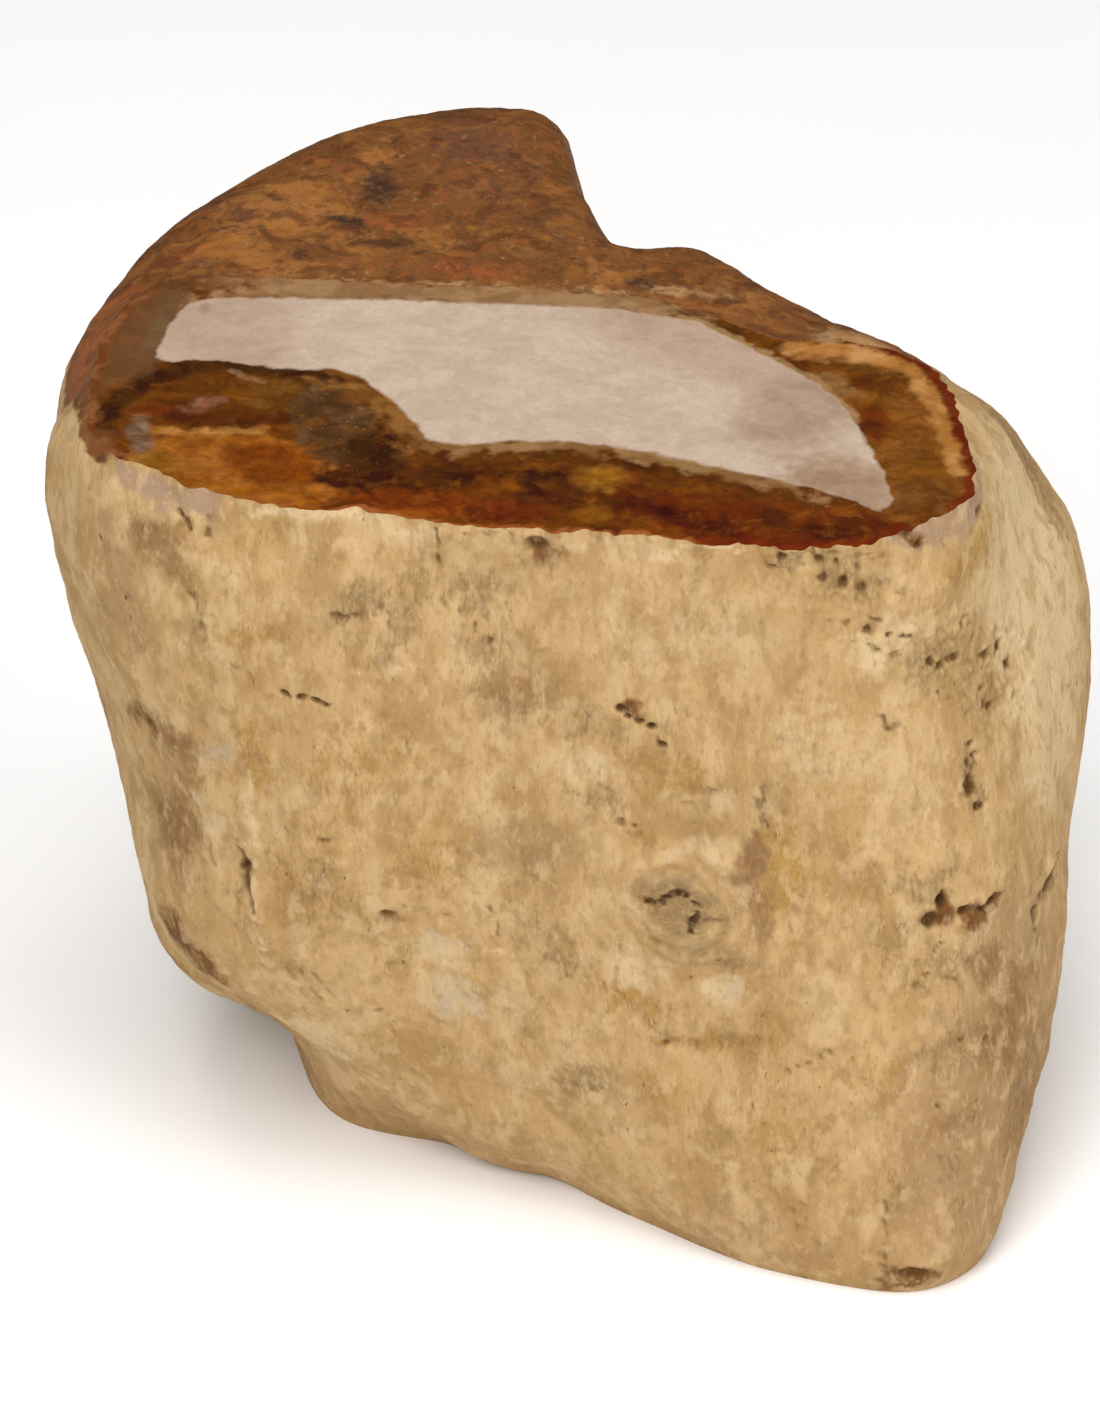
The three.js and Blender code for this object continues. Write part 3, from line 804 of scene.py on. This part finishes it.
# ---- filling the flat faces ----
def spread_points(outline, spacing, margin, seed):
    """Points over an outline on a slightly uneven hexagonal grid, all at least a margin inside."""
    low = outline.min(axis=0)
    high = outline.max(axis=0)
    rows = np.arange(low[1], high[1], spacing * 0.866)
    random = np.random.default_rng(seed)
    grid = []
    for i, y in enumerate(rows):
        xs = np.arange(low[0] + (i % 2) * spacing / 2, high[0], spacing)
        grid.append(np.stack([xs, np.full(len(xs), y)], axis=1))
    grid = np.vstack(grid)
    grid += random.uniform(-0.12, 0.12, grid.shape) * spacing
    return grid[depth_in(grid, outline) > margin]


def fill(outline, spacing, seed):
    """Triangles over a flat outline. The first points are the outline's own."""
    extra = spread_points(outline, spacing, spacing * 0.55, seed)
    flat = [Vector(p) for p in np.vstack([outline, extra])]
    count = len(outline)
    border = [(i, (i + 1) % count) for i in range(count)]
    made = delaunay_2d_cdt(flat, border, [], 1, 1e-6)
    places, faces, origins = made[0], made[2], made[3]
    own = [o[0] if o else None for o in origins]
    if None in own or len(places) != len(flat):
        raise ValueError("the outline crosses itself")
    return extra, [[own[i] for i in face] for face in faces]


def cap_loop(points, faces, ring, spacing, seed, lift, up):
    """Fills one open loop with triangles that face up or down. lift gives z at x and y."""
    outline = points[ring][:, :2]
    extra, triangles = fill(outline, spacing, seed)
    numbers = [*ring, *range(len(points), len(points) + len(extra))]
    heights = lift(extra)
    points = np.vstack([points, np.column_stack([extra, heights])])
    new = []
    for t in triangles:
        face = [numbers[i] for i in t]
        a, b, c = points[face]
        turned = (np.cross(b - a, c - a)[2] > 0) != up
        new.append(face[::-1] if turned else face)
    return points, faces + new, len(new)


# ---- masks ----
def stained(plan, stains_there):
    """How strongly a list of stains shows at each 2-D point."""
    mask = np.zeros(len(plan))
    for stain in stains_there:
        mask = np.maximum(mask, stain.strength * ellipse(plan, stain))
    return mask


def streaked(plan, name):
    """The same for the streaks of one stain."""
    mask = np.zeros(len(plan))
    for streak, width, strength, line in STREAKS:
        if streak == name:
            away = line_distance(plan, curved(line)) / width
            mask = np.maximum(mask, strength * (1 - smooth_step(0.5, 1.6, away)))
    return mask


def stain_masks(points, masks):
    """How strongly each stain shows at each point of the natural surface."""
    plan = warped(points, points[:, [0, 2]], 1.4, 0.7)
    plan += np.stack([2.2 * noise(points, 8, 51), 2.2 * noise(points, 8, 52)], axis=1)
    found = {}
    for i, name in enumerate(STAIN_LOOKS):
        mask = np.maximum(stained(plan, STAINS.get(name, [])), streaked(plan, name))
        if name in ONLY_PLACED:
            wild = np.zeros(len(points))
        else:
            size = np.array([14, 14, 26]) + 3 * i
            wild = smooth_step(0.0, 0.9, noise(points, size, 60 + i)) * 0.6
        if name == "umber":
            wild = wild * smooth_step(0.5, 0.8, noise(points, 9, 71))
        found[name] = np.where(masks["front"] > 0, mask, wild) * (1 - masks["cap"])
    return found


def cap_masks(points, masks):
    plan = warped(points, points[:, :2], 1.3, 0.8)
    return {"cap_" + name: stained(plan, there) * masks["cap"] for name, there in CAP_STAINS.items()}


def zone_depths(plan):
    """How deep each point of the window lies in each zone, in millimetres."""
    found = {}
    for zone in JASPER + GLASS + CORE:
        if isinstance(zone, Patch):
            away = leaning(plan, zone.x, zone.y, zone.wide, zone.deep, zone.lean)
            depth = (1 - away) * min(zone.wide, zone.deep)
        elif isinstance(zone, Stroke):
            depth = zone.wide - line_distance(plan, curved(zone.points))
        else:
            depth = depth_in(plan, rounded(zone.points, 1))
        found["zone_" + zone.name] = np.clip(depth, -6, 6)
    return found


def band_depths(plan, bands, away):
    """The same for the bands that lie between two distances of an edge."""
    found = {}
    for band in bands:
        inside = np.minimum.reduce([
            END_FADE * (plan[:, 0] - band.x[0]), END_FADE * (band.x[1] - plan[:, 0]),
            plan[:, 1] - band.y[0], band.y[1] - plan[:, 1],
            away - band.near, band.far - away,
        ])
        found["band_" + band.name] = np.clip(inside, -6, 6)
    return found


def window_masks(plan, rim_away):
    outside_core = -depth_in(plan, rounded(CORE[0].points, 1))
    return {
        **zone_depths(plan),
        **band_depths(plan, CORE_BANDS, outside_core),
        **band_depths(plan, RIM_BANDS, rim_away),
        "fleck": FLECKS_ELSEWHERE + stained(plan, [FLECKS]),
        "glint": stained(plan, [GLINTS]),
    }


def put_attribute(mesh, name, values, vector=False):
    kind = "FLOAT_VECTOR" if vector else "FLOAT"
    attribute = mesh.attributes.new(name, kind, "POINT")
    attribute.data.foreach_set("vector" if vector else "value", np.asarray(values, np.float32).ravel())


# ---- materials ----
class Nodes:
    """Short ways to build one material's node tree."""

    def __init__(self, name):
        self.material = bpy.data.materials.new(name)
        self.material.use_nodes = True
        self.tree = self.material.node_tree
        self.shader = self.tree.nodes["Principled BSDF"]

    def put(self, socket, value):
        if isinstance(value, bpy.types.NodeSocket):
            self.tree.links.new(value, socket)
        else:
            socket.default_value = value

    def attribute(self, name, vector=False):
        node = self.tree.nodes.new("ShaderNodeAttribute")
        node.attribute_name = name
        return node.outputs["Vector" if vector else "Fac"]

    def math(self, operation, a, b=0.0):
        node = self.tree.nodes.new("ShaderNodeMath")
        node.operation = operation
        self.put(node.inputs[0], a)
        self.put(node.inputs[1], b)
        return node.outputs[0]

    def add(self, a, b):
        return self.math("ADD", a, b)

    def less(self, a, b):
        return self.math("SUBTRACT", a, b)

    def times(self, a, b):
        return self.math("MULTIPLY", a, b)

    def stretch(self, vector, scale):
        node = self.tree.nodes.new("ShaderNodeVectorMath")
        node.operation = "MULTIPLY"
        self.put(node.inputs[0], vector)
        node.inputs[1].default_value = scale
        return node.outputs[0]

    def noise(self, vector, size, detail=3.0, rough=0.55, twist=0.0):
        """Three different noises, from 0 to 1, about size across."""
        node = self.tree.nodes.new("ShaderNodeTexNoise")
        self.put(node.inputs["Vector"], vector)
        node.inputs["Scale"].default_value = 1 / size
        node.inputs["Detail"].default_value = detail
        node.inputs["Roughness"].default_value = rough
        node.inputs["Distortion"].default_value = twist
        parts = self.tree.nodes.new("ShaderNodeSeparateColor")
        self.tree.links.new(node.outputs["Color"], parts.inputs[0])
        return parts.outputs[0], parts.outputs[1], parts.outputs[2]

    def step(self, value, low, high, to_low=0.0, to_high=1.0):
        node = self.tree.nodes.new("ShaderNodeMapRange")
        node.interpolation_type = "SMOOTHSTEP"
        self.put(node.inputs["Value"], value)
        node.inputs["From Min"].default_value = low
        node.inputs["From Max"].default_value = high
        node.inputs["To Min"].default_value = to_low
        node.inputs["To Max"].default_value = to_high
        return node.outputs["Result"]

    def mix(self, share, a, b, blend="MIX"):
        node = self.tree.nodes.new("ShaderNodeMix")
        node.data_type = "RGBA"
        node.blend_type = blend
        self.put(node.inputs["Factor"], share)
        self.put(node.inputs["A"], a)
        self.put(node.inputs["B"], b)
        return node.outputs["Result"]

    def grey(self, value):
        node = self.tree.nodes.new("ShaderNodeCombineColor")
        for socket in node.inputs:
            self.put(socket, value)
        return node.outputs[0]

    def bump(self, height, depth):
        node = self.tree.nodes.new("ShaderNodeBump")
        node.inputs["Strength"].default_value = 1.0
        node.inputs["Distance"].default_value = depth * MM
        self.put(node.inputs["Height"], height)
        return node.outputs["Normal"]


def ragged(n, mask, breaks, amount):
    """A mask's share with ragged edges. breaks are two noises that eat into it."""
    value = n.add(mask, n.times(n.less(breaks[0], 0.5), 1.5 * amount))
    value = n.add(value, n.times(n.less(breaks[1], 0.5), 1.0 * amount))
    share = n.step(value, 0.15, 0.95)
    return n.times(share, n.step(mask, 0.02, 0.30))


def thin_lines(n, grey, width):
    """1 along the thin winding lines where a noise passes its middle."""
    away = n.math("ABSOLUTE", n.less(grey, 0.5))
    return n.step(away, 0.0, width, 1.0, 0.0)


def lay_tones(n, colour, tones):
    """Lays tones over a colour, each where a value rises between two others, up to a share."""
    for value, low, high, most, tone in tones:
        colour = n.mix(n.step(value, low, high, 0, most), colour, tone)
    return colour


def bark_colour(n, grain, fibres):
    """Tan stone, stained and mottled, with dark and pale fibres along the grain. The relief's hollows get
    painted shade, its crests painted highlights, and its pits and cracks are painted dark.
    """
    wide = n.noise(n.stretch(grain, (1, 1, 0.7)), 15, detail=4, rough=0.6, twist=0.5)
    broad = n.noise(n.stretch(grain, (1, 1, 0.6)), 8.0, detail=4, rough=0.55, twist=0.3)
    blotch = n.noise(n.stretch(grain, (1, 1, 0.6)), 3.2, detail=3.5, rough=0.55, twist=0.3)
    freckle = n.noise(n.stretch(grain, (1, 1, 0.5)), 1.0, detail=3, rough=0.55)
    folds = n.noise(n.stretch(grain, (1, 1, 0.22)), 3.2, detail=3, rough=0.5, twist=0.3)
    tan, pale = (bark_tone(c) for c in BARK)
    olive, bright, dash = (bark_tone(c) for c in (BARK_OLIVE, BARK_PALE, BARK_DASH))
    colour = n.mix(n.step(wide[0], 0.40, 0.60), tan, pale)
    colour = lay_tones(n, colour, [
        (broad[0], 0.48, 0.62, 0.65, olive), (broad[2], 0.50, 0.64, 0.65, bright),
    ])
    for i, (name, (stain, broken)) in enumerate(STAIN_LOOKS.items()):
        share = ragged(n, n.attribute(name), (blotch[i % 3], freckle[(i + 1) % 3]), broken)
        colour = n.mix(share, colour, bark_tone(stain))
    busy = n.add(n.attribute("grey"), n.attribute("mauve"))
    busy = n.less(n.add(busy, n.attribute("ochre")), n.attribute("cream"))
    colour = lay_tones(n, colour, [
        (blotch[1], 0.50, 0.64, 0.5, olive), (blotch[2], 0.52, 0.66, 0.5, bright),
    ])
    mottle = n.times(n.step(blotch[0], 0.52, 0.64), n.step(busy, -0.4, 1.1, 0.1, 0.7))
    colour = n.mix(mottle, colour, bark_tone(BARK_SHADE))
    dashes = n.times(n.step(fibres[0], 0.56, 0.70), n.step(busy, -0.4, 1.1, 0.05, 0.45))
    colour = n.mix(dashes, colour, dash)
    colour = lay_tones(n, colour, [
        (freckle[0], 0.56, 0.72, 0.3, dash), (freckle[1], 0.56, 0.72, 0.35, bright),
    ])
    lines = n.times(thin_lines(n, folds[0], 0.016), n.step(busy, 0.0, 0.9, 0.08, 0.5))
    colour = n.mix(lines, colour, dash)
    pits = n.times(n.step(freckle[2], 0.67, 0.74), n.step(wide[2], 0.42, 0.62, 0.1, 0.8))
    colour = n.mix(pits, colour, bark_tone(MARK))
    # Painted shade in the relief's hollows and a painted highlight on its crests.
    colour = lay_tones(n, colour, [
        (n.attribute("hollow_shade"), 0.1, 1.0, 0.35, bark_tone(BARK_HOLLOW_SHADE)),
        (n.attribute("crest_highlight"), 0.0, 1.0, 0.2, bright),
    ])
    # Pits and cracks painted darker: painted shade in them, over their own darker tone.
    dark = n.times(n.step(n.attribute("dark"), 0.02, 0.85), n.step(freckle[2], 0.36, 0.56, 0.55, 1.0))
    return n.mix(dark, colour, n.mix(n.attribute("knot"), bark_tone(MARK), bark_tone(KNOT_MARK)))


def cap_colour(n, grain):
    """Brown weathered jasper, with gold, rust, plum and soot in it, and a painted sheen along its back edge
    where it turns down.
    """
    streaks = n.noise(n.stretch(grain, (0.8, 1, 1)), 5.0, detail=4, rough=0.55, twist=0.6)
    grit = n.noise(grain, 1.8, detail=4, rough=0.58, twist=0.2)
    base, other = (cap_tone(c) for c in CAP)
    colour = n.mix(n.step(streaks[0], 0.42, 0.58), base, other)
    for i, (name, (stain, broken)) in enumerate(CAP_LOOKS.items()):
        share = ragged(n, n.attribute("cap_" + name), (streaks[i % 3], grit[i % 3]), broken)
        colour = n.mix(share, colour, cap_tone(stain))
    golden = n.times(n.step(streaks[1], 0.49, 0.62), n.step(n.attribute("cap_gold"), 0, 1, 0.4, 0.65))
    colour = n.mix(golden, colour, cap_tone(CAP_GOLD))
    colour = lay_tones(n, colour, [
        (streaks[2], 0.51, 0.63, 0.65, cap_tone(CAP_SHADE)), (grit[0], 0.53, 0.68, 0.4, cap_tone(CAP_RUST)),
        (grit[1], 0.53, 0.68, 0.4, cap_tone(CAP_DARK)), (grit[2], 0.60, 0.72, 0.35, cap_tone(CAP_PALE)),
    ])
    soot = n.step(n.attribute("cap_soot"), 0.45, 1.0, 0, 0.8)
    colour = n.mix(n.times(soot, n.step(grit[0], 0.44, 0.56, 0.1, 1.0)), colour, cap_tone(CAP_SOOT))
    # the painted sheen along the back edge
    return lay_tones(n, colour, [(n.attribute("cap_edge_sheen"), 0, 1, 0.7, cap_tone(CAP_EDGE_SHEEN))])


def natural_material():
    """Bark that turns into the brown weathered top."""
    n = Nodes("natural_surface")
    grain = n.attribute("grain", vector=True)
    fibres = n.noise(n.stretch(grain, (1, 1, 0.25)), 0.7, detail=3, rough=0.6)
    cap = n.attribute("cap")
    edge = n.noise(grain, 2.0, detail=3, rough=0.6)
    border = n.add(cap, n.less(edge[0], 0.5))
    colour = n.mix(n.step(border, 0.3, 0.7), bark_colour(n, grain, fibres), cap_colour(n, grain))
    n.put(n.shader.inputs["Base Color"], colour)
    n.put(n.shader.inputs["Roughness"], n.step(cap, 0, 1, 0.85, 0.65))
    n.shader.inputs["Specular IOR Level"].default_value = 0.10
    speck = n.noise(grain, 0.8, detail=2)
    height = n.add(n.times(fibres[0], 0.6), n.times(speck[2], 0.4))
    n.put(n.shader.inputs["Normal"], n.bump(height, 0.4))
    return n.material


def zone_share(n, depth, grey, wobble, soft):
    """Turns a depth in millimetres into a share, with an edge that a noise moves by the wobble."""
    wander = n.times(n.less(grey, 0.5), 3.6 * wobble)
    return n.step(n.add(depth, wander), -0.6 * soft, 0.6 * soft)


def two_toned(n, colours, grey):
    """One polished colour that a noise turns into another."""
    first, second = (polished(c) for c in colours)
    return n.mix(n.step(grey, 0.42, 0.58), first, second)


def lay_zones(n, colour, zones, broad, edge):
    """Paints the zones over a colour. Zones named core_ show only inside the core."""
    core = None
    for i, zone in enumerate(zones):
        share = zone_share(n, n.attribute("zone_" + zone.name), edge[i % 3], zone.wobble, zone.soft)
        if zone.name == "core":
            core = share
        elif zone.name.startswith("core_"):
            share = n.times(share, core)
        colour = n.mix(share, colour, two_toned(n, zone.colours, broad[(i + 1) % 3]))
    return colour


def lay_bands(n, colour, bands, broad, edge):
    for i, band in enumerate(bands):
        share = zone_share(n, n.attribute("band_" + band.name), edge[(i + 1) % 3], band.soft, band.soft)
        colour = n.mix(share, colour, two_toned(n, band.colours, broad[i % 3]))
    return colour


def jasper_grain(n, colour, place, broad, fine, grit):
    """Clouds, dark threads and pale flecks in the brown stone."""
    clouds = n.noise(n.stretch(place, (0.75, 1, 1)), 3.2, detail=3.5, rough=0.55, twist=0.8)
    shade = n.add(n.step(clouds[0], 0.38, 0.62, 0.80, 1.16), n.step(fine[2], 0.38, 0.62, -0.05, 0.05))
    colour = n.mix(1.0, colour, n.grey(shade), "MULTIPLY")
    warm = n.times(n.step(clouds[1], 0.52, 0.66), n.step(broad[1], 0.42, 0.60, 0.05, 0.3))
    colour = n.mix(warm, colour, polished(WARM_CLOUD), "LIGHTEN")
    threads = n.times(thin_lines(n, clouds[2], 0.03), n.step(broad[0], 0.42, 0.60, 0.05, 0.25))
    colour = n.mix(threads, colour, polished(DARK_THREAD), "DARKEN")
    flecks = n.times(n.step(grit[1], 0.64, 0.74), n.attribute("fleck"))
    return n.mix(flecks, colour, polished(PALE_FLECK), "LIGHTEN")


def window_material():
    """The polished face: zones of agate, jasper and chalcedony under one gloss."""
    n = Nodes("polished_window")
    place = n.attribute("grain", vector=True)
    broad = n.noise(n.stretch(place, (0.6, 1, 1)), 5, detail=3.5, rough=0.55, twist=0.5)
    edge = n.noise(n.stretch(place, (0.8, 1, 1)), 2.2, detail=2, rough=0.5)
    fine = n.noise(n.stretch(place, (0.8, 1, 1)), 1.4, detail=3.5, rough=0.6)
    grit = n.noise(place, 0.6, detail=2)
    first, second = (polished(c) for c in BROWN_STONE)
    base = n.mix(n.step(broad[0], 0.4, 0.6), first, second)
    colour = lay_zones(n, base, JASPER, broad, edge)
    colour = jasper_grain(n, colour, place, broad, fine, grit)
    colour = lay_zones(n, colour, GLASS, broad, edge)
    colour = lay_bands(n, colour, CORE_BANDS, broad, edge)
    colour = lay_zones(n, colour, CORE, broad, edge)
    colour = lay_bands(n, colour, RIM_BANDS, broad, edge)
    shade = n.add(n.step(fine[2], 0.35, 0.65, 0.95, 1.03), n.step(grit[0], 0.35, 0.65, -0.03, 0.03))
    colour = n.mix(1.0, colour, n.grey(shade), "MULTIPLY")
    glints = n.times(n.step(grit[2], 0.64, 0.74), n.attribute("glint"))
    colour = n.mix(glints, colour, polished(GLINT), "LIGHTEN")
    n.put(n.shader.inputs["Base Color"], colour)
    n.put(n.shader.inputs["Roughness"], n.step(fine[1], 0.4, 0.7, 0.10, 0.16))
    return n.material


def foot_material():
    """The sawn foot: ground flat and left dull."""
    n = Nodes("sawn_foot")
    place = n.attribute("grain", vector=True)
    saw = n.noise(n.stretch(place, (0.08, 1, 1)), 1.5, detail=3)
    patches = n.noise(place, 12, detail=4)
    first, second = (bark_tone(c) for c in FOOT)
    colour = n.mix(n.step(patches[0], 0.4, 0.6), first, second)
    colour = lay_tones(n, colour, [(saw[0], 0.45, 0.65, 0.35, bark_tone(SAW_MARK))])
    n.put(n.shader.inputs["Base Color"], colour)
    n.put(n.shader.inputs["Roughness"], n.step(patches[1], 0.4, 0.6, 0.55, 0.7))
    n.put(n.shader.inputs["Normal"], n.bump(saw[0], 0.1))
    return n.material


# ---- the stone ----
def mark_sharp(mesh, ring_numbers):
    """Keeps the edges of the flat faces crisp."""
    ends = np.zeros(len(mesh.edges) * 2, int)
    mesh.edges.foreach_get("vertices", ends)
    on_ring = np.isin(ends.reshape(-1, 2), ring_numbers).all(axis=1)
    sharp = mesh.attributes.new("sharp_edge", "BOOLEAN", "EDGE")
    sharp.data.foreach_set("value", on_ring)


def fine_surface(node):
    """The CAD's natural surface made smooth and fine: its points, faces and open rings, and the window's
    plane as a normal and a height along it."""
    sides, normal, height = open_sides(node)
    bm = smoothed(sides)
    refine(bm, lambda middles: np.abs(middles @ normal - height) < RIM_BAND)
    for margin, least in MARK_PASSES:
        refine(bm, lambda middles: near_marks(middles, margin, least))
    rings = loops(bm)
    points = np.array([v.co for v in bm.verts])
    faces = [[v.index for v in f.verts] for f in bm.faces]
    bm.free()
    return points, faces, rings, normal, height


def stone_mesh(points, faces, counts):
    """The mesh, in metres, with one material slot after another for that many faces each."""
    mesh = bpy.data.meshes.new("stone")
    mesh.from_pydata((points * MM).tolist(), [], faces)
    mesh.polygons.foreach_set("use_smooth", np.ones(len(faces), bool))
    slots = np.repeat([0, 1, 2], counts)
    mesh.polygons.foreach_set("material_index", slots.astype(np.int32))
    return mesh


def put_masks(mesh, points, normals, masks, rim_ring):
    """Stores the masks that the materials read. The natural surface's points come first."""
    natural = len(normals)
    outside = points[:natural]
    # A painted sheen on the brown top where it turns down at the back.
    turning = (1 - smooth_step(0.35, 0.75, normals[:, 2])) * smooth_step(20, 38, outside[:, 1])
    masks["cap_edge_sheen"] = masks["cap"] * turning
    rest = np.zeros(len(points) - natural)
    for name, values in {**masks, **stain_masks(outside, masks), **cap_masks(outside, masks)}.items():
        put_attribute(mesh, name, np.concatenate([values, rest]))
    _, away = nearest_of(points, points[rim_ring])
    for name, values in window_masks(points[:, :2], away).items():
        put_attribute(mesh, name, values)


def build_stone(node):
    points, faces, (rim_ring, foot_ring), window_normal, window_height = fine_surface(node)
    foot_z = points[:, 2].min()

    def on_window(plan):
        return (window_height - plan @ window_normal[:2]) / window_normal[2]

    def on_foot(plan):
        return np.full(len(plan), foot_z)

    swell(points, vertex_normals(points, faces))
    rim_away = pull_rim(points, rim_ring, -window_normal[1] / window_normal[2])
    wear_rim(points, rim_ring, rim_away)
    normals = vertex_normals(points, faces)
    points, grain, masks = shape_stone(points, normals, rim_away, window_normal)
    points[rim_ring, 2] = on_window(points[rim_ring, :2])
    points[foot_ring, 2] = foot_z
    counts = [len(faces)]
    for ring, spacing, seed, lift, up in (
        (rim_ring, WINDOW_SPACING, 7, on_window, True), (foot_ring, FOOT_SPACING, 8, on_foot, False),
    ):
        points, faces, count = cap_loop(points, faces, ring, spacing, seed, lift, up)
        counts.append(count)

    mesh = stone_mesh(points, faces, counts)
    mark_sharp(mesh, rim_ring + foot_ring)
    put_attribute(mesh, "grain", np.vstack([grain, points[len(grain):]]), vector=True)
    put_masks(mesh, points, normals, masks, rim_ring)
    for material in (natural_material(), window_material(), foot_material()):
        mesh.materials.append(material)
    mesh.validate()
    stone = bpy.data.objects.new("stone", mesh)
    bpy.context.scene.collection.objects.link(stone)
    return stone


# ---- the studio ----
TARGET = Vector((-4.1, -2.9, 75.6)) * MM  # what the camera looks at
DISTANCE = 0.82  # from there to the camera
ELEVATION = math.radians(30)
LENS = 120  # focal length in millimetres
SENSOR = 36  # height of the sensor in millimetres
FLOOR_SIZE = 12
SOFTBOX_SIZE = 2.0
SOFTBOXES = [  # name, place, power
    ("key", (-0.9, -2.3, 2.5), 86), ("fill", (2.5, -1.7, 1.5), 48), ("overhead", (0.0, -0.5, 3.1), 54),
]
WORLD_LIGHT = 0.08


def floor():
    bpy.ops.mesh.primitive_plane_add(size=FLOOR_SIZE)
    plane = bpy.context.object
    plane.name = "floor"
    n = Nodes("pale_floor")
    place = n.tree.nodes.new("ShaderNodeTexCoord").outputs["Object"]
    shade = n.noise(place, 0.4, detail=2)
    first, second = (linear(c) for c in PALE_FLOOR)
    n.put(n.shader.inputs["Base Color"], n.mix(n.step(shade[0], 0.3, 0.7), first, second))
    n.shader.inputs["Roughness"].default_value = 0.9
    plane.data.materials.append(n.material)


def softbox(name, place, power):
    """A square area light that faces the stone."""
    light = bpy.data.lights.new(name, "AREA")
    light.size = SOFTBOX_SIZE
    light.energy = power
    lamp = bpy.data.objects.new(name, light)
    lamp.location = place
    lamp.rotation_mode = "QUATERNION"
    lamp.rotation_quaternion = (TARGET - Vector(place)).to_track_quat("-Z", "Y")
    bpy.context.scene.collection.objects.link(lamp)


def studio():
    for name, place, power in SOFTBOXES:
        softbox(name, place, power)
    world = bpy.data.worlds.new("studio")
    bpy.context.scene.world = world
    world.use_nodes = True
    background = world.node_tree.nodes["Background"]
    background.inputs["Color"].default_value = (1, 1, 1, 1)
    background.inputs["Strength"].default_value = WORLD_LIGHT
    bpy.context.scene.view_settings.view_transform = "Standard"


def camera():
    data = bpy.data.cameras.new("camera")
    data.lens = LENS
    data.sensor_fit = "VERTICAL"
    data.sensor_width = data.sensor_height = SENSOR
    eye = bpy.data.objects.new("camera", data)
    back = Vector((0, -math.cos(ELEVATION), math.sin(ELEVATION)))
    eye.location = TARGET + back * DISTANCE
    eye.rotation_euler = (math.pi / 2 - ELEVATION, 0, 0)
    bpy.context.scene.collection.objects.link(eye)
    bpy.context.scene.camera = eye


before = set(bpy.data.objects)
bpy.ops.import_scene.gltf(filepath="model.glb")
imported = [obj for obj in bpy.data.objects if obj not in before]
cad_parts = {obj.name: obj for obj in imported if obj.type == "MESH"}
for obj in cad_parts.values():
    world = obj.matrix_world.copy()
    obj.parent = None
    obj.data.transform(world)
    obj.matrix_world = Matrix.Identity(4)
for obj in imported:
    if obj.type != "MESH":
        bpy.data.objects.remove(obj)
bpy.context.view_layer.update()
stone = build_stone(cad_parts[NODE])
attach(stone, "root")
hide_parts(NODE)
floor()
studio()
camera()
